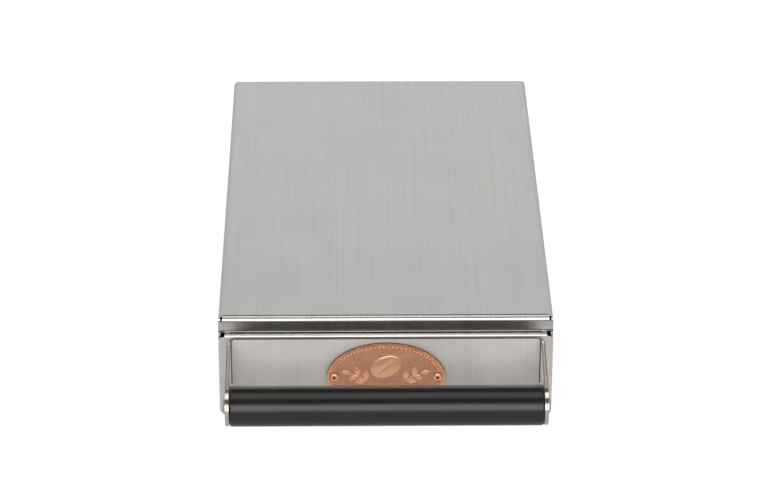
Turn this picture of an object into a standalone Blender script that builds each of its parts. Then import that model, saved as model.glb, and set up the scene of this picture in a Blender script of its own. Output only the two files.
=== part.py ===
"""Coffee knock drawer: a folded steel housing on rubber feet, with a grounds drawer that slides out of its front.

Lengths are in metres. X runs across, the front looks along -Y and Z is up from the table. Places are worked out
in a frame whose Y is zero at the housing's front edge. Two empties, one for the housing and one for the drawer,
hold that frame and put the middle of the whole object's base on the world's origin.
"""

import math

import bmesh
import bpy
from mathutils import Matrix, Vector

# Fits shared by all pieces
GAP = 0.0003
OVERCUT = 0.004
SCREW_SLACK = 0.0003
MERGE = 0.00001
SMOOTH_ANGLE = math.radians(35)

# Housing
HOUSING_WIDTH = 0.180
HOUSING_DEPTH = 0.300
HOUSING_HEIGHT = 0.052
HOUSING_SHEET = 0.0012
HOUSING_BEND_RADIUS = 0.0028
BEND_SEGMENTS = 4
FRONT_LIP_HEIGHT = 0.0090
BOTTOM_LIP_WIDTH = 0.0160
RELIEF_WIDTH = 0.0010
RELIEF_BITE = 0.0001
RELIEF_TOP_DROP = 0.0004
RELIEF_HEIGHT = 0.0022

# Rear panel
REAR_PANEL_SHEET = 0.0012
REAR_PANEL_INSET = 0.0025
REAR_LIP_WIDTH = 0.0100
REAR_SCREW_EDGE_X = 0.0050
REAR_SCREW_EDGE_Z = 0.0090
REAR_SCREW_DIAMETER = 0.0030
REAR_SCREW_LENGTH = 0.0060
REAR_SCREW_HEAD_DIAMETER = 0.0055
REAR_SCREW_HEAD_HEIGHT = 0.0018
REAR_SCREW_SOCKET = 0.0020

# Rear bumpers
BUMPER_LENGTH = 0.0093
BUMPER_DIAMETER = 0.0110
BUMPER_STEM_DIAMETER = 0.0040
BUMPER_SPACING = 0.0900
BUMPER_EDGE_RADIUS = 0.0015

# Base plate
BASE_SHEET = 0.0012
BASE_FRONT_SETBACK = 0.0015
BASE_SIDE_CLEARANCE = 0.0011

# Feet
FOOT_HEIGHT = 0.0080
FOOT_DIAMETER = 0.0160
FOOT_SOLE_DIAMETER = 0.0140
FOOT_SOLE_CHAMFER = 0.0008
FOOT_SIDE_INSET = 0.0095
FOOT_END_INSET = 0.0250
FOOT_RECESS_DEPTH = 0.0045
FOOT_SCREW_DIAMETER = 0.0040
FOOT_SCREW_HEAD_DIAMETER = 0.0070
FOOT_SCREW_HEAD_HEIGHT = 0.0024
FOOT_SCREW_OVERHANG = 0.0005
FOOT_SCREW_SOCKET = 0.0025

# Runners
RUNNER_WALL = 0.0015
RUNNER_FOOT_WIDTH = 0.0130
RUNNER_FRONT_SETBACK = 0.0037
RUNNER_REAR_SPACE = 0.0060
RUNNER_SIDE_CLEARANCE = 0.0010
LIFT_PLAY = 0.0008
GLIDE_THICKNESS = 0.0012
STOP_BLOCK_LENGTH = 0.0080
STOP_BLOCK_EDGE_RADIUS = 0.0005

# Grounds tray
TRAY_SHEET = 0.0012
TRAY_CORNER_RADIUS = 0.0040
TRAY_CORNER_SEGMENTS = 3
TRAY_LIP_WIDTH = 0.0055
TRAY_LIP_FOLD_RADIUS = 0.0008
TRAY_RIM_CLEARANCE = 0.0025
TRAY_FLOOR_CLEARANCE = 0.0017
EAR_WIDTH = 0.0023
EAR_LENGTH = 0.0080
EAR_CLEARANCE = 0.0007
EAR_THICKNESS = 0.0009
EAR_ROOT = 0.0012
DRAWER_TRAVEL = 0.200

# Drawer front
PANEL_STANDOFF = 0.0028
PANEL_SHEET = 0.0010
PANEL_RETURN_GAP = 0.0012
PANEL_BEND_RADIUS = 0.0012
PANEL_CORNER_RADIUS = 0.0034
PANEL_TOP_DROP = 0.0096
PANEL_TABLE_CLEARANCE = 0.0015

# Handle bracket
BRACKET_SHEET = 0.0020
BRACKET_SIDE_INSET = 0.00475
BRACKET_BEND_RADIUS = 0.0030
BRACKET_TOP_DROP = 0.0014
BRACKET_BOTTOM_RISE = 0.00252
BRACKET_RELIEF_RADIUS = 0.0009
BRACKET_RELIEF_DEPTH = 0.0020
BRACKET_RELIEF_INSET = 0.0034
ARM_SHOULDER = 0.0010
ARM_TIP_SHORTFALL = 0.00025
ARM_TIP_SEGMENTS = 20
STUD_DIAMETER = 0.0040
STUD_SIDE_INSET = 0.0230
STUD_RIM_INSET = 0.0075
STUD_ROOT = 0.0010
STUD_OVERHANG = 0.0010
NUT_WIDTH = 0.0070
NUT_HEIGHT = 0.0032

# Handle bar
HANDLE_DIAMETER = 0.0215
HANDLE_REACH = 0.0392
HANDLE_DROP = 0.0208
HANDLE_EDGE_RADIUS = 0.0012
HANDLE_BORE_DEPTH = 0.0150
HANDLE_SCREW_DIAMETER = 0.0050
HANDLE_SCREW_LENGTH = 0.0140
HANDLE_SCREW_HEAD_DIAMETER = 0.0085
HANDLE_SCREW_HEAD_HEIGHT = 0.0020
HANDLE_SCREW_SOCKET = 0.0030

# Badge
BADGE_WIDTH = 0.0635
BADGE_MARGIN = 0.00169
BADGE_THICKNESS = 0.0014
BADGE_RIM_WIDTH = 0.0010
BADGE_RIM_SLOPE = 0.0003
BADGE_RIM_RISE = 0.0005
BADGE_SEGMENTS = 56
RIVET_EDGE_DISTANCE = 0.00385
RIVET_HEAD_DIAMETER = 0.0046
RIVET_HEAD_HEIGHT = 0.0010
RIVET_DIAMETER = 0.0024
RIVET_DIMPLE_DIAMETER = 0.0017
RIVET_DIMPLE_DEPTH = 0.0005

# Knock bar
KNOCK_BAR_SETBACK = 0.1000
KNOCK_BAR_DROP = 0.0100
KNOCK_CORE_DIAMETER = 0.0080
KNOCK_SLEEVE_DIAMETER = 0.0160
KNOCK_SLEEVE_END_SPACE = 0.0040
KNOCK_SLEEVE_EDGE_RADIUS = 0.0010
KNOCK_EDGE_CHAMFER = 0.0004
KNOCK_BORE_DEPTH = 0.0120
KNOCK_SCREW_DIAMETER = 0.0040
KNOCK_SCREW_LENGTH = 0.0120
KNOCK_SCREW_HEAD_DIAMETER = 0.0080
KNOCK_SCREW_HEAD_HEIGHT = 0.0022
KNOCK_SCREW_SOCKET = 0.0025
KNOCK_WASHER_DIAMETER = 0.0095
KNOCK_WASHER_THICKNESS = 0.0010

# Sides of the round pieces
BAR_SIDES = 48
SLEEVE_SIDES = 32
FOOT_SIDES = 28
SCREW_SIDES = 16
SCREW_EDGE_SHARE = 0.25
DOME_STEPS = 3

# Finishes: colour, roughness, metallic
BRUSHED_STEEL = ((0.60, 0.60, 0.59), 0.32, 1.0)
SATIN_STEEL = ((0.55, 0.55, 0.55), 0.40, 1.0)
BRIGHT_STEEL = ((0.68, 0.68, 0.67), 0.20, 1.0)
ALUMINIUM = ((0.72, 0.73, 0.74), 0.38, 1.0)
BLACK_GRIP = ((0.022, 0.022, 0.024), 0.42, 0.0)
BLACK_RUBBER = ((0.018, 0.018, 0.018), 0.75, 0.0)
WHITE_NYLON = ((0.82, 0.82, 0.79), 0.50, 0.0)
COPPER = ((0.72, 0.33, 0.18), 0.34, 1.0)

# Places that several pieces share
HALF_WIDTH = HOUSING_WIDTH / 2
HOUSING_BOTTOM = FOOT_HEIGHT
HOUSING_TOP = HOUSING_BOTTOM + HOUSING_HEIGHT
WALL_INNER = HALF_WIDTH - HOUSING_SHEET
LIP_EDGE_Z = HOUSING_TOP - FRONT_LIP_HEIGHT
INNER_BEND_RADIUS = HOUSING_BEND_RADIUS - HOUSING_SHEET

REAR_PANEL_BACK = HOUSING_DEPTH - REAR_PANEL_INSET
REAR_PANEL_FRONT = REAR_PANEL_BACK - REAR_PANEL_SHEET
REAR_LIP_BACK = REAR_PANEL_FRONT - GAP
REAR_LIP_FRONT = REAR_LIP_BACK - HOUSING_SHEET
REAR_SCREW_X = WALL_INNER - REAR_SCREW_EDGE_X

BASE_BOTTOM = HOUSING_BOTTOM + HOUSING_SHEET + GAP
BASE_TOP = BASE_BOTTOM + BASE_SHEET
RUNNER_BOTTOM = BASE_TOP + GAP
RUNNER_FOOT_TOP = RUNNER_BOTTOM + RUNNER_WALL
RUNNER_FRONT = RUNNER_FRONT_SETBACK
RUNNER_REAR = REAR_LIP_FRONT - RUNNER_REAR_SPACE

RUNNER_OUTER = WALL_INNER - GAP
RUNNER_INNER = RUNNER_OUTER - RUNNER_WALL
EAR_EDGE = RUNNER_INNER - EAR_CLEARANCE
TRAY_LIP_EDGE = EAR_EDGE - EAR_WIDTH
TRAY_SIDE = TRAY_LIP_EDGE - TRAY_LIP_WIDTH
CHANNEL_MOUTH = TRAY_SIDE + RUNNER_SIDE_CLEARANCE

TRAY_TOP = LIP_EDGE_Z - TRAY_RIM_CLEARANCE
TRAY_FOLD_Z = TRAY_TOP - TRAY_SHEET
TRAY_BOTTOM = RUNNER_FOOT_TOP + TRAY_FLOOR_CLEARANCE
TRAY_FRONT = -PANEL_STANDOFF + PANEL_SHEET + GAP
TRAY_REAR = REAR_PANEL_FRONT - GAP - BUMPER_LENGTH - GAP
GLIDE_TOP = TRAY_FOLD_Z - GAP
CHANNEL_FLOOR = GLIDE_TOP - GLIDE_THICKNESS - GAP
CHANNEL_ROOF = TRAY_TOP + LIFT_PLAY
STOP_BLOCK_FRONT = RUNNER_FRONT + GAP
STOP_BLOCK_REAR = STOP_BLOCK_FRONT + STOP_BLOCK_LENGTH
EAR_FRONT = STOP_BLOCK_REAR + GAP + DRAWER_TRAVEL

PANEL_FACE = -PANEL_STANDOFF
PANEL_BACK = PANEL_FACE + PANEL_SHEET
PANEL_TOP = HOUSING_TOP - PANEL_TOP_DROP
PANEL_BOTTOM = PANEL_TABLE_CLEARANCE
PANEL_BEND_Z = PANEL_TOP - PANEL_BEND_RADIUS

WEB_BACK = PANEL_FACE - GAP
WEB_FACE = WEB_BACK - BRACKET_SHEET
WEB_TOP = PANEL_TOP - BRACKET_TOP_DROP
WEB_BOTTOM = PANEL_BOTTOM + BRACKET_BOTTOM_RISE
ARM_OUTER = HALF_WIDTH - BRACKET_SIDE_INSET
ARM_INNER = ARM_OUTER - BRACKET_SHEET
ARM_TOP = WEB_TOP - BRACKET_RELIEF_DEPTH
HANDLE_Y = PANEL_FACE - HANDLE_REACH
HANDLE_Z = PANEL_TOP - HANDLE_DROP
ARM_TIP_RADIUS = HANDLE_DIAMETER / 2 - ARM_TIP_SHORTFALL

BADGE_Z = (WEB_TOP + WEB_BOTTOM) / 2
BADGE_HEIGHT = WEB_TOP - WEB_BOTTOM - 2 * BADGE_MARGIN
BADGE_BACK = WEB_FACE - GAP
BADGE_FIELD = BADGE_BACK - BADGE_THICKNESS + BADGE_RIM_RISE
RIVET_X = BADGE_WIDTH / 2 - RIVET_EDGE_DISTANCE

STUD_X = ARM_OUTER - STUD_SIDE_INSET
STUD_HEIGHTS = (TRAY_BOTTOM + STUD_RIM_INSET, TRAY_TOP - STUD_RIM_INSET)
TRAY_FRONT_INSIDE = TRAY_FRONT + TRAY_SHEET

KNOCK_BAR_Y = TRAY_FRONT + KNOCK_BAR_SETBACK
KNOCK_BAR_Z = TRAY_TOP - KNOCK_BAR_DROP

FRONT_REACH = HANDLE_DIAMETER / 2 - HANDLE_Y
FRONT_EDGE_Y = (FRONT_REACH - HOUSING_DEPTH) / 2

FEET = [
    ("front_left", -1, FOOT_END_INSET),
    ("front_right", 1, FOOT_END_INSET),
    ("rear_left", -1, HOUSING_DEPTH - FOOT_END_INSET),
    ("rear_right", 1, HOUSING_DEPTH - FOOT_END_INSET),
]
SIDES = [("left", -1), ("right", 1)]
LEVELS = [("lower", 0), ("upper", 1)]

# Turns that point a turned piece's own +Z along an axis of the object
TO_UP = (0, 0, 0)
TO_DOWN = (math.pi, 0, 0)
TO_RIGHT = (0, math.pi / 2, 0)
TO_LEFT = (0, -math.pi / 2, 0)
TO_FRONT = (math.pi / 2, 0, 0)
TO_REAR = (-math.pi / 2, 0, 0)


def clear_scene():
    for obj in list(bpy.data.objects):
        bpy.data.objects.remove(obj, do_unlink=True)


def new_collection(name):
    collection = bpy.data.collections.new(name)
    bpy.context.scene.collection.children.link(collection)
    return collection


def new_empty(name, collection, parent=None, place=(0, 0, 0)):
    empty = bpy.data.objects.new(name, None)
    collection.objects.link(empty)
    empty.parent = parent
    empty.location = place
    return empty


def new_material(name, finish):
    colour, roughness, metallic = finish
    material = bpy.data.materials.new(name)
    material.use_nodes = True
    shader = material.node_tree.nodes["Principled BSDF"]
    shader.inputs["Base Color"].default_value = (*colour, 1.0)
    shader.inputs["Roughness"].default_value = roughness
    shader.inputs["Metallic"].default_value = metallic
    return material


class Assembly:
    """The collections and the parent empty that a group of pieces goes under."""

    def __init__(self, parts, cutters, parent):
        self.parts = parts
        self.cutters = cutters
        self.parent = parent

    def add(self, name, mesh, finish, place=(0, 0, 0), turn=TO_UP):
        """A visible piece of the object, in its own material."""
        obj = bpy.data.objects.new(name, mesh)
        self.parts.objects.link(obj)
        obj.parent = self.parent
        obj.location = place
        obj.rotation_euler = turn
        if not mesh.materials:
            mesh.materials.append(new_material(name + "_finish", finish))
        return obj

    def add_cutter(self, name, mesh, place=(0, 0, 0), turn=TO_UP):
        """A hidden shape that cuts a piece, or is joined to it."""
        obj = bpy.data.objects.new(name, mesh)
        self.cutters.objects.link(obj)
        obj.parent = self.parent
        obj.location = place
        obj.rotation_euler = turn
        obj.hide_render = True
        obj.display_type = "WIRE"
        return obj


def combine(obj, other, operation="DIFFERENCE", solver="EXACT"):
    modifier = obj.modifiers.new(other.name, "BOOLEAN")
    modifier.operation = operation
    modifier.object = other
    modifier.solver = solver


def mesh_from(bm, name):
    """The bmesh as a mesh, with flat faces kept flat and bends shaded smooth."""
    bmesh.ops.recalc_face_normals(bm, faces=bm.faces)
    mesh = bpy.data.meshes.new(name)
    bm.to_mesh(mesh)
    bm.free()
    mesh.shade_smooth()
    mesh.set_sharp_from_angle(angle=SMOOTH_ANGLE)
    return mesh


def box_bmesh(size):
    bm = bmesh.new()
    bmesh.ops.create_cube(bm, size=1, matrix=Matrix.Diagonal((*size, 1)))
    return bm


def round_edges(bm, radius, segments, wanted):
    """Bevels the edges whose direction and middle the function wanted accepts."""
    edges = []
    for edge in bm.edges:
        start, end = (vertex.co for vertex in edge.verts)
        if wanted((end - start).normalized(), (start + end) / 2):
            edges.append(edge)
    bmesh.ops.bevel(
        bm,
        geom=edges,
        offset=radius,
        offset_type="OFFSET",
        segments=segments,
        profile=0.5,
        affect="EDGES",
        material=-1,
    )


def runs_along(axis):
    return lambda direction, middle: abs(direction[axis]) > 0.5


def box_between(low, high):
    """The size and the middle of the box between two corners."""
    low, high = Vector(low), Vector(high)
    return high - low, (low + high) / 2


def plain_box(name, low, high):
    """A box mesh about its own middle, and the place of that middle."""
    size, middle = box_between(low, high)
    return mesh_from(box_bmesh(size), name), middle


def rounded_box(name, low, high, radius):
    """A box mesh whose four edges along Y are rounded, and the place of its middle."""
    size, middle = box_between(low, high)
    bm = box_bmesh(size)
    round_edges(bm, radius, BEND_SEGMENTS, runs_along(1))
    return mesh_from(bm, name), middle


def cut_box(assembly, obj, name, low, high):
    mesh, middle = plain_box(name, low, high)
    combine(obj, assembly.add_cutter(name, mesh, middle))


def rods_mesh(name, places, radius, length, turn, sides=SCREW_SIDES):
    """Round rods of one length about each of the places, as one mesh, for holes that are cut together."""
    bm = bmesh.new()
    rotation = Matrix.Rotation(turn[0], 4, "X") @ Matrix.Rotation(turn[1], 4, "Y")
    for place in places:
        bmesh.ops.create_cone(
            bm,
            cap_ends=True,
            segments=sides,
            radius1=radius,
            radius2=radius,
            depth=length,
            matrix=Matrix.Translation(place) @ rotation,
        )
    return mesh_from(bm, name)


def drill(assembly, obj, name, places, radius, length, turn, operation="DIFFERENCE", solver="EXACT"):
    mesh = rods_mesh(name, places, radius, length, turn)
    combine(obj, assembly.add_cutter(name, mesh), operation, solver)


def solid_mesh(obj):
    """The evaluated mesh of a scratch object, which is then removed."""
    graph = bpy.context.evaluated_depsgraph_get()
    mesh = bpy.data.meshes.new_from_object(obj.evaluated_get(graph))
    mesh.name = obj.name
    bpy.data.objects.remove(obj, do_unlink=True)
    return mesh


def outline_mesh(name, points, thickness):
    """A flat outline in XY made solid, half of its thickness on each side of the plane."""
    curve = bpy.data.curves.new(name, "CURVE")
    curve.dimensions = "2D"
    curve.fill_mode = "BOTH"
    curve.extrude = thickness / 2
    spline = curve.splines.new("POLY")
    spline.points.add(len(points) - 1)
    for point, (x, y) in zip(spline.points, points):
        point.co = (x, y, 0, 1)
    spline.use_cyclic_u = True
    obj = bpy.data.objects.new(name, curve)
    bpy.context.scene.collection.objects.link(obj)
    bpy.context.view_layer.update()
    mesh = solid_mesh(obj)
    bm = bmesh.new()
    bm.from_mesh(mesh)
    bmesh.ops.remove_doubles(bm, verts=bm.verts, dist=MERGE)
    bpy.data.meshes.remove(mesh)
    return mesh_from(bm, name)


def turned_object(name, profile, closed, sides):
    """A profile of (radius, height) points turned about Z. A closed profile makes a ring."""
    mesh = bpy.data.meshes.new(name)
    edges = [(i, i + 1) for i in range(len(profile) - 1)]
    if closed:
        edges.append((len(profile) - 1, 0))
    mesh.from_pydata([(radius, 0, height) for radius, height in profile], edges, [])
    obj = bpy.data.objects.new(name, mesh)
    screw = obj.modifiers.new("turn", "SCREW")
    screw.axis = "Z"
    screw.steps = sides
    screw.render_steps = sides
    screw.use_merge_vertices = True
    screw.merge_threshold = MERGE
    screw.use_smooth_shade = True
    return obj


def turned_mesh(name, profile, closed=False, sides=SCREW_SIDES):
    obj = turned_object(name, profile, closed, sides)
    bpy.context.scene.collection.objects.link(obj)
    bpy.context.view_layer.update()
    mesh = solid_mesh(obj)
    mesh.set_sharp_from_angle(angle=SMOOTH_ANGLE)
    return mesh


def quarter_round(radius, height, edge, start, end, steps=DOME_STEPS):
    """Points round an outer edge whose rounding ends at this radius and height, between two angles in degrees."""
    points = []
    for step in range(steps + 1):
        angle = math.radians(start + (end - start) * step / steps)
        points.append((radius - edge + edge * math.cos(angle), height + edge * math.sin(angle)))
    return points


def bored_bar_mesh(name, diameter, length, edge, bore, bore_depth, sides):
    """A bar about Z with rounded ends and a screw hole in each end."""
    radius = diameter / 2
    hole = bore / 2 + SCREW_SLACK
    half = length / 2
    profile = [(0, half - bore_depth), (hole, half - bore_depth), (hole, half)]
    profile += quarter_round(radius, half - edge, edge, 90, 0)
    profile += quarter_round(radius, -half + edge, edge, 0, -90)
    profile += [(hole, -half), (hole, -half + bore_depth), (0, -half + bore_depth)]
    return turned_mesh(name, profile, sides=sides)


def ring_mesh(name, outer, inner, thickness, edge, sides):
    """A washer or sleeve about Z, standing on Z = 0, with its outer edges eased."""
    profile = quarter_round(outer / 2, thickness - edge, edge, 90, 0, 2)
    profile += quarter_round(outer / 2, edge, edge, 0, -90, 2)
    profile += [(inner / 2, 0), (inner / 2, thickness)]
    return turned_mesh(name, profile, closed=True, sides=sides)


def screw_mesh(name, diameter, length, head_diameter, head_height, socket):
    """A button head screw about Z: its head stands on Z = 0 and its shank runs down. The head has a hex socket."""
    edge = head_height * (1 - SCREW_EDGE_SHARE)
    profile = [(0, head_height)]
    profile += quarter_round(head_diameter / 2, head_height - edge, edge, 90, 0)
    profile += [(head_diameter / 2, 0), (diameter / 2, 0), (diameter / 2, -length), (0, -length)]
    obj = turned_object(name, profile, False, SCREW_SIDES)
    bm = bmesh.new()
    bmesh.ops.create_cone(
        bm,
        cap_ends=True,
        segments=6,
        radius1=socket / math.sqrt(3),
        radius2=socket / math.sqrt(3),
        depth=2 * head_height * (1 - SCREW_EDGE_SHARE),
        matrix=Matrix.Translation((0, 0, head_height)),
    )
    socket_cutter = bpy.data.objects.new(name + "_socket", mesh_from(bm, name + "_socket"))
    for piece in (obj, socket_cutter):
        bpy.context.scene.collection.objects.link(piece)
    combine(obj, socket_cutter)
    bpy.context.view_layer.update()
    mesh = solid_mesh(obj)
    mesh.set_sharp_from_angle(angle=SMOOTH_ANGLE)
    bpy.data.objects.remove(socket_cutter, do_unlink=True)
    return mesh


def nut_mesh(name, width, height, bore):
    """A hexagon nut about Z, standing on Z = 0."""
    bm = bmesh.new()
    bmesh.ops.create_cone(
        bm,
        cap_ends=True,
        segments=6,
        radius1=width / math.sqrt(3),
        radius2=width / math.sqrt(3),
        depth=height,
        matrix=Matrix.Translation((0, 0, height / 2)),
    )
    nut = bpy.data.objects.new(name, mesh_from(bm, name))
    hole_mesh = rods_mesh(name + "_bore", [(0, 0, height / 2)], bore / 2, height + 2 * OVERCUT, TO_UP)
    hole = bpy.data.objects.new(name + "_bore", hole_mesh)
    for piece in (nut, hole):
        bpy.context.scene.collection.objects.link(piece)
    combine(nut, hole)
    bpy.context.view_layer.update()
    mesh = solid_mesh(nut)
    bpy.data.objects.remove(hole, do_unlink=True)
    return mesh


def foot_screw_places(height):
    return [(side * (HALF_WIDTH - FOOT_SIDE_INSET), y, height) for _, side, y in FEET]


def rear_screw_places(y):
    low = HOUSING_BOTTOM + REAR_SCREW_EDGE_Z
    high = HOUSING_TOP - REAR_SCREW_EDGE_Z
    return [(side * REAR_SCREW_X, y, z) for _, side in SIDES for z in (low, high)]


def stud_places(y):
    return [(side * STUD_X, y, z) for _, side in SIDES for z in STUD_HEIGHTS]


def housing_cavity_mesh():
    """The space inside the housing, with a foot that runs out of the front under the lip."""
    low = (-WALL_INNER, HOUSING_SHEET, HOUSING_BOTTOM + HOUSING_SHEET)
    high = (WALL_INNER, REAR_LIP_FRONT, HOUSING_TOP - HOUSING_SHEET)
    size, middle = box_between(low, high)
    bm = box_bmesh(size)
    lip_height = LIP_EDGE_Z - middle.z
    bmesh.ops.bisect_plane(
        bm,
        geom=bm.verts[:] + bm.edges[:] + bm.faces[:],
        plane_co=(0, 0, lip_height),
        plane_no=(0, 0, 1),
    )
    front = [
        face for face in bm.faces
        if face.normal.y < -0.5 and face.calc_center_median().z < lip_height
    ]
    grown = bmesh.ops.extrude_face_region(bm, geom=front)["geom"]
    ahead = [item for item in grown if isinstance(item, bmesh.types.BMVert)]
    bmesh.ops.translate(bm, vec=(0, -HOUSING_SHEET - OVERCUT, 0), verts=ahead)
    bmesh.ops.delete(bm, geom=front, context="FACES")
    top = size.z / 2

    def wall_corner(direction, place):
        return abs(direction.y) > 0.5 and abs(abs(place.z) - top) < MERGE

    round_edges(bm, INNER_BEND_RADIUS, BEND_SEGMENTS, wall_corner)
    return mesh_from(bm, "housing_cavity"), middle


def build_housing_shell(assembly):
    """Top, sides, front lip, bottom lips and rear lips, folded from one sheet."""
    size, middle = box_between((-HALF_WIDTH, 0, HOUSING_BOTTOM), (HALF_WIDTH, HOUSING_DEPTH, HOUSING_TOP))
    bm = box_bmesh(size)

    def folded(direction, place):
        front_top = abs(direction.x) > 0.5 and place.y < 0 and place.z > 0
        return abs(direction.y) > 0.5 or front_top

    round_edges(bm, HOUSING_BEND_RADIUS, BEND_SEGMENTS, folded)
    shell = assembly.add("housing_shell", mesh_from(bm, "housing_shell"), BRUSHED_STEEL, middle)
    cavity, cavity_middle = housing_cavity_mesh()
    combine(shell, assembly.add_cutter("housing_cavity", cavity, cavity_middle))
    cut_box(
        assembly,
        shell,
        "housing_bottom_slot",
        (-HALF_WIDTH + BOTTOM_LIP_WIDTH, -OVERCUT, HOUSING_BOTTOM - OVERCUT),
        (HALF_WIDTH - BOTTOM_LIP_WIDTH, HOUSING_DEPTH + OVERCUT, HOUSING_BOTTOM + HOUSING_SHEET + OVERCUT),
    )
    recess, recess_middle = rounded_box(
        "housing_rear_recess",
        (-WALL_INNER, REAR_LIP_BACK, HOUSING_BOTTOM + HOUSING_SHEET),
        (WALL_INNER, HOUSING_DEPTH + OVERCUT, HOUSING_TOP - HOUSING_SHEET),
        INNER_BEND_RADIUS,
    )
    combine(shell, assembly.add_cutter("housing_rear_recess", recess, recess_middle))
    opening = WALL_INNER - REAR_LIP_WIDTH
    cut_box(
        assembly,
        shell,
        "housing_rear_opening",
        (-opening, REAR_LIP_FRONT - OVERCUT, HOUSING_BOTTOM - OVERCUT),
        (opening, REAR_LIP_BACK + OVERCUT, HOUSING_TOP - REAR_LIP_WIDTH),
    )
    for side_name, side in SIDES:
        ends = sorted((side * (WALL_INNER - RELIEF_WIDTH), side * (WALL_INNER + RELIEF_BITE)))
        top = HOUSING_TOP - RELIEF_TOP_DROP
        cut_box(
            assembly,
            shell,
            "corner_relief_" + side_name,
            (ends[0], -OVERCUT, top - RELIEF_HEIGHT),
            (ends[1], HOUSING_BEND_RADIUS, top),
        )
    drill(
        assembly,
        shell,
        "housing_foot_holes",
        foot_screw_places(HOUSING_BOTTOM),
        FOOT_SCREW_DIAMETER / 2 + SCREW_SLACK,
        2 * OVERCUT,
        TO_UP,
    )
    drill(
        assembly,
        shell,
        "housing_rear_holes",
        rear_screw_places((REAR_LIP_FRONT + REAR_LIP_BACK) / 2),
        REAR_SCREW_DIAMETER / 2 + SCREW_SLACK,
        HOUSING_SHEET + OVERCUT,
        TO_FRONT,
    )


def build_rear_panel(assembly):
    edge = WALL_INNER - GAP
    mesh, middle = rounded_box(
        "rear_panel",
        (-edge, REAR_PANEL_FRONT, HOUSING_BOTTOM + HOUSING_SHEET + GAP),
        (edge, REAR_PANEL_BACK, HOUSING_TOP - HOUSING_SHEET - GAP),
        INNER_BEND_RADIUS - GAP,
    )
    panel = assembly.add("rear_panel", mesh, BRUSHED_STEEL, middle)
    drill(
        assembly,
        panel,
        "rear_panel_screw_holes",
        rear_screw_places(middle.y),
        REAR_SCREW_DIAMETER / 2 + SCREW_SLACK,
        REAR_PANEL_SHEET + OVERCUT,
        TO_FRONT,
    )
    drill(
        assembly,
        panel,
        "rear_panel_bumper_holes",
        [(side * BUMPER_SPACING / 2, middle.y, bumper_height()) for _, side in SIDES],
        BUMPER_STEM_DIAMETER / 2 + SCREW_SLACK,
        REAR_PANEL_SHEET + OVERCUT,
        TO_FRONT,
    )


def bumper_height():
    return (TRAY_BOTTOM + TRAY_FOLD_Z) / 2


def build_rear_screws(assembly):
    mesh = screw_mesh(
        "rear_screw",
        REAR_SCREW_DIAMETER,
        REAR_SCREW_LENGTH,
        REAR_SCREW_HEAD_DIAMETER,
        REAR_SCREW_HEAD_HEIGHT,
        REAR_SCREW_SOCKET,
    )
    names = ["rear_screw_" + side + "_" + level for side, _ in SIDES for level, _ in LEVELS]
    for name, place in zip(names, rear_screw_places(REAR_PANEL_BACK + GAP)):
        assembly.add(name, mesh, SATIN_STEEL, place, TO_REAR)


def build_rear_bumpers(assembly):
    """Rubber buffers that the tray comes to rest on, pushed into the rear panel."""
    radius = BUMPER_DIAMETER / 2
    stem = BUMPER_STEM_DIAMETER / 2
    profile = [(0, BUMPER_LENGTH)]
    profile += quarter_round(radius, BUMPER_LENGTH - BUMPER_EDGE_RADIUS, BUMPER_EDGE_RADIUS, 90, 0)
    profile += [(radius, 0), (stem, 0), (stem, -REAR_PANEL_SHEET - GAP), (0, -REAR_PANEL_SHEET - GAP)]
    mesh = turned_mesh("rear_bumper", profile, sides=SCREW_SIDES)
    for side_name, side in SIDES:
        place = (side * BUMPER_SPACING / 2, REAR_PANEL_FRONT - GAP, bumper_height())
        assembly.add("rear_bumper_" + side_name, mesh, BLACK_RUBBER, place, TO_FRONT)


def build_base_plate(assembly):
    edge = WALL_INNER - BASE_SIDE_CLEARANCE
    mesh, middle = plain_box(
        "base_plate",
        (-edge, BASE_FRONT_SETBACK, BASE_BOTTOM),
        (edge, REAR_LIP_FRONT - GAP, BASE_TOP),
    )
    plate = assembly.add("base_plate", mesh, SATIN_STEEL, middle)
    drill(
        assembly,
        plate,
        "base_plate_holes",
        foot_screw_places(middle.z),
        FOOT_SCREW_DIAMETER / 2 + SCREW_SLACK,
        BASE_SHEET + OVERCUT,
        TO_UP,
    )


def foot_mesh():
    """A round rubber foot about Z, with a recess in its sole for the screw's head."""
    top = FOOT_HEIGHT - GAP
    outer = FOOT_DIAMETER / 2
    sole = FOOT_SOLE_DIAMETER / 2
    recess = FOOT_SCREW_HEAD_DIAMETER / 2 + SCREW_SLACK
    hole = FOOT_SCREW_DIAMETER / 2 + SCREW_SLACK
    profile = [
        (outer, top),
        (outer, top - FOOT_SOLE_CHAMFER),
        (sole, FOOT_SOLE_CHAMFER),
        (sole - FOOT_SOLE_CHAMFER, 0),
        (recess, 0),
        (recess, FOOT_RECESS_DEPTH),
        (hole, FOOT_RECESS_DEPTH),
        (hole, top),
    ]
    return turned_mesh("foot", profile, closed=True, sides=FOOT_SIDES)


def build_feet(assembly):
    foot = foot_mesh()
    head_seat = FOOT_RECESS_DEPTH - GAP
    screw = screw_mesh(
        "foot_screw",
        FOOT_SCREW_DIAMETER,
        RUNNER_FOOT_TOP + FOOT_SCREW_OVERHANG - head_seat,
        FOOT_SCREW_HEAD_DIAMETER,
        FOOT_SCREW_HEAD_HEIGHT,
        FOOT_SCREW_SOCKET,
    )
    for (corner, _, _), (x, y, _) in zip(FEET, foot_screw_places(HOUSING_BOTTOM)):
        assembly.add("foot_" + corner, foot, BLACK_RUBBER, (x, y, 0))
        assembly.add("foot_screw_" + corner, screw, SATIN_STEEL, (x, y, head_seat), TO_DOWN)


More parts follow.
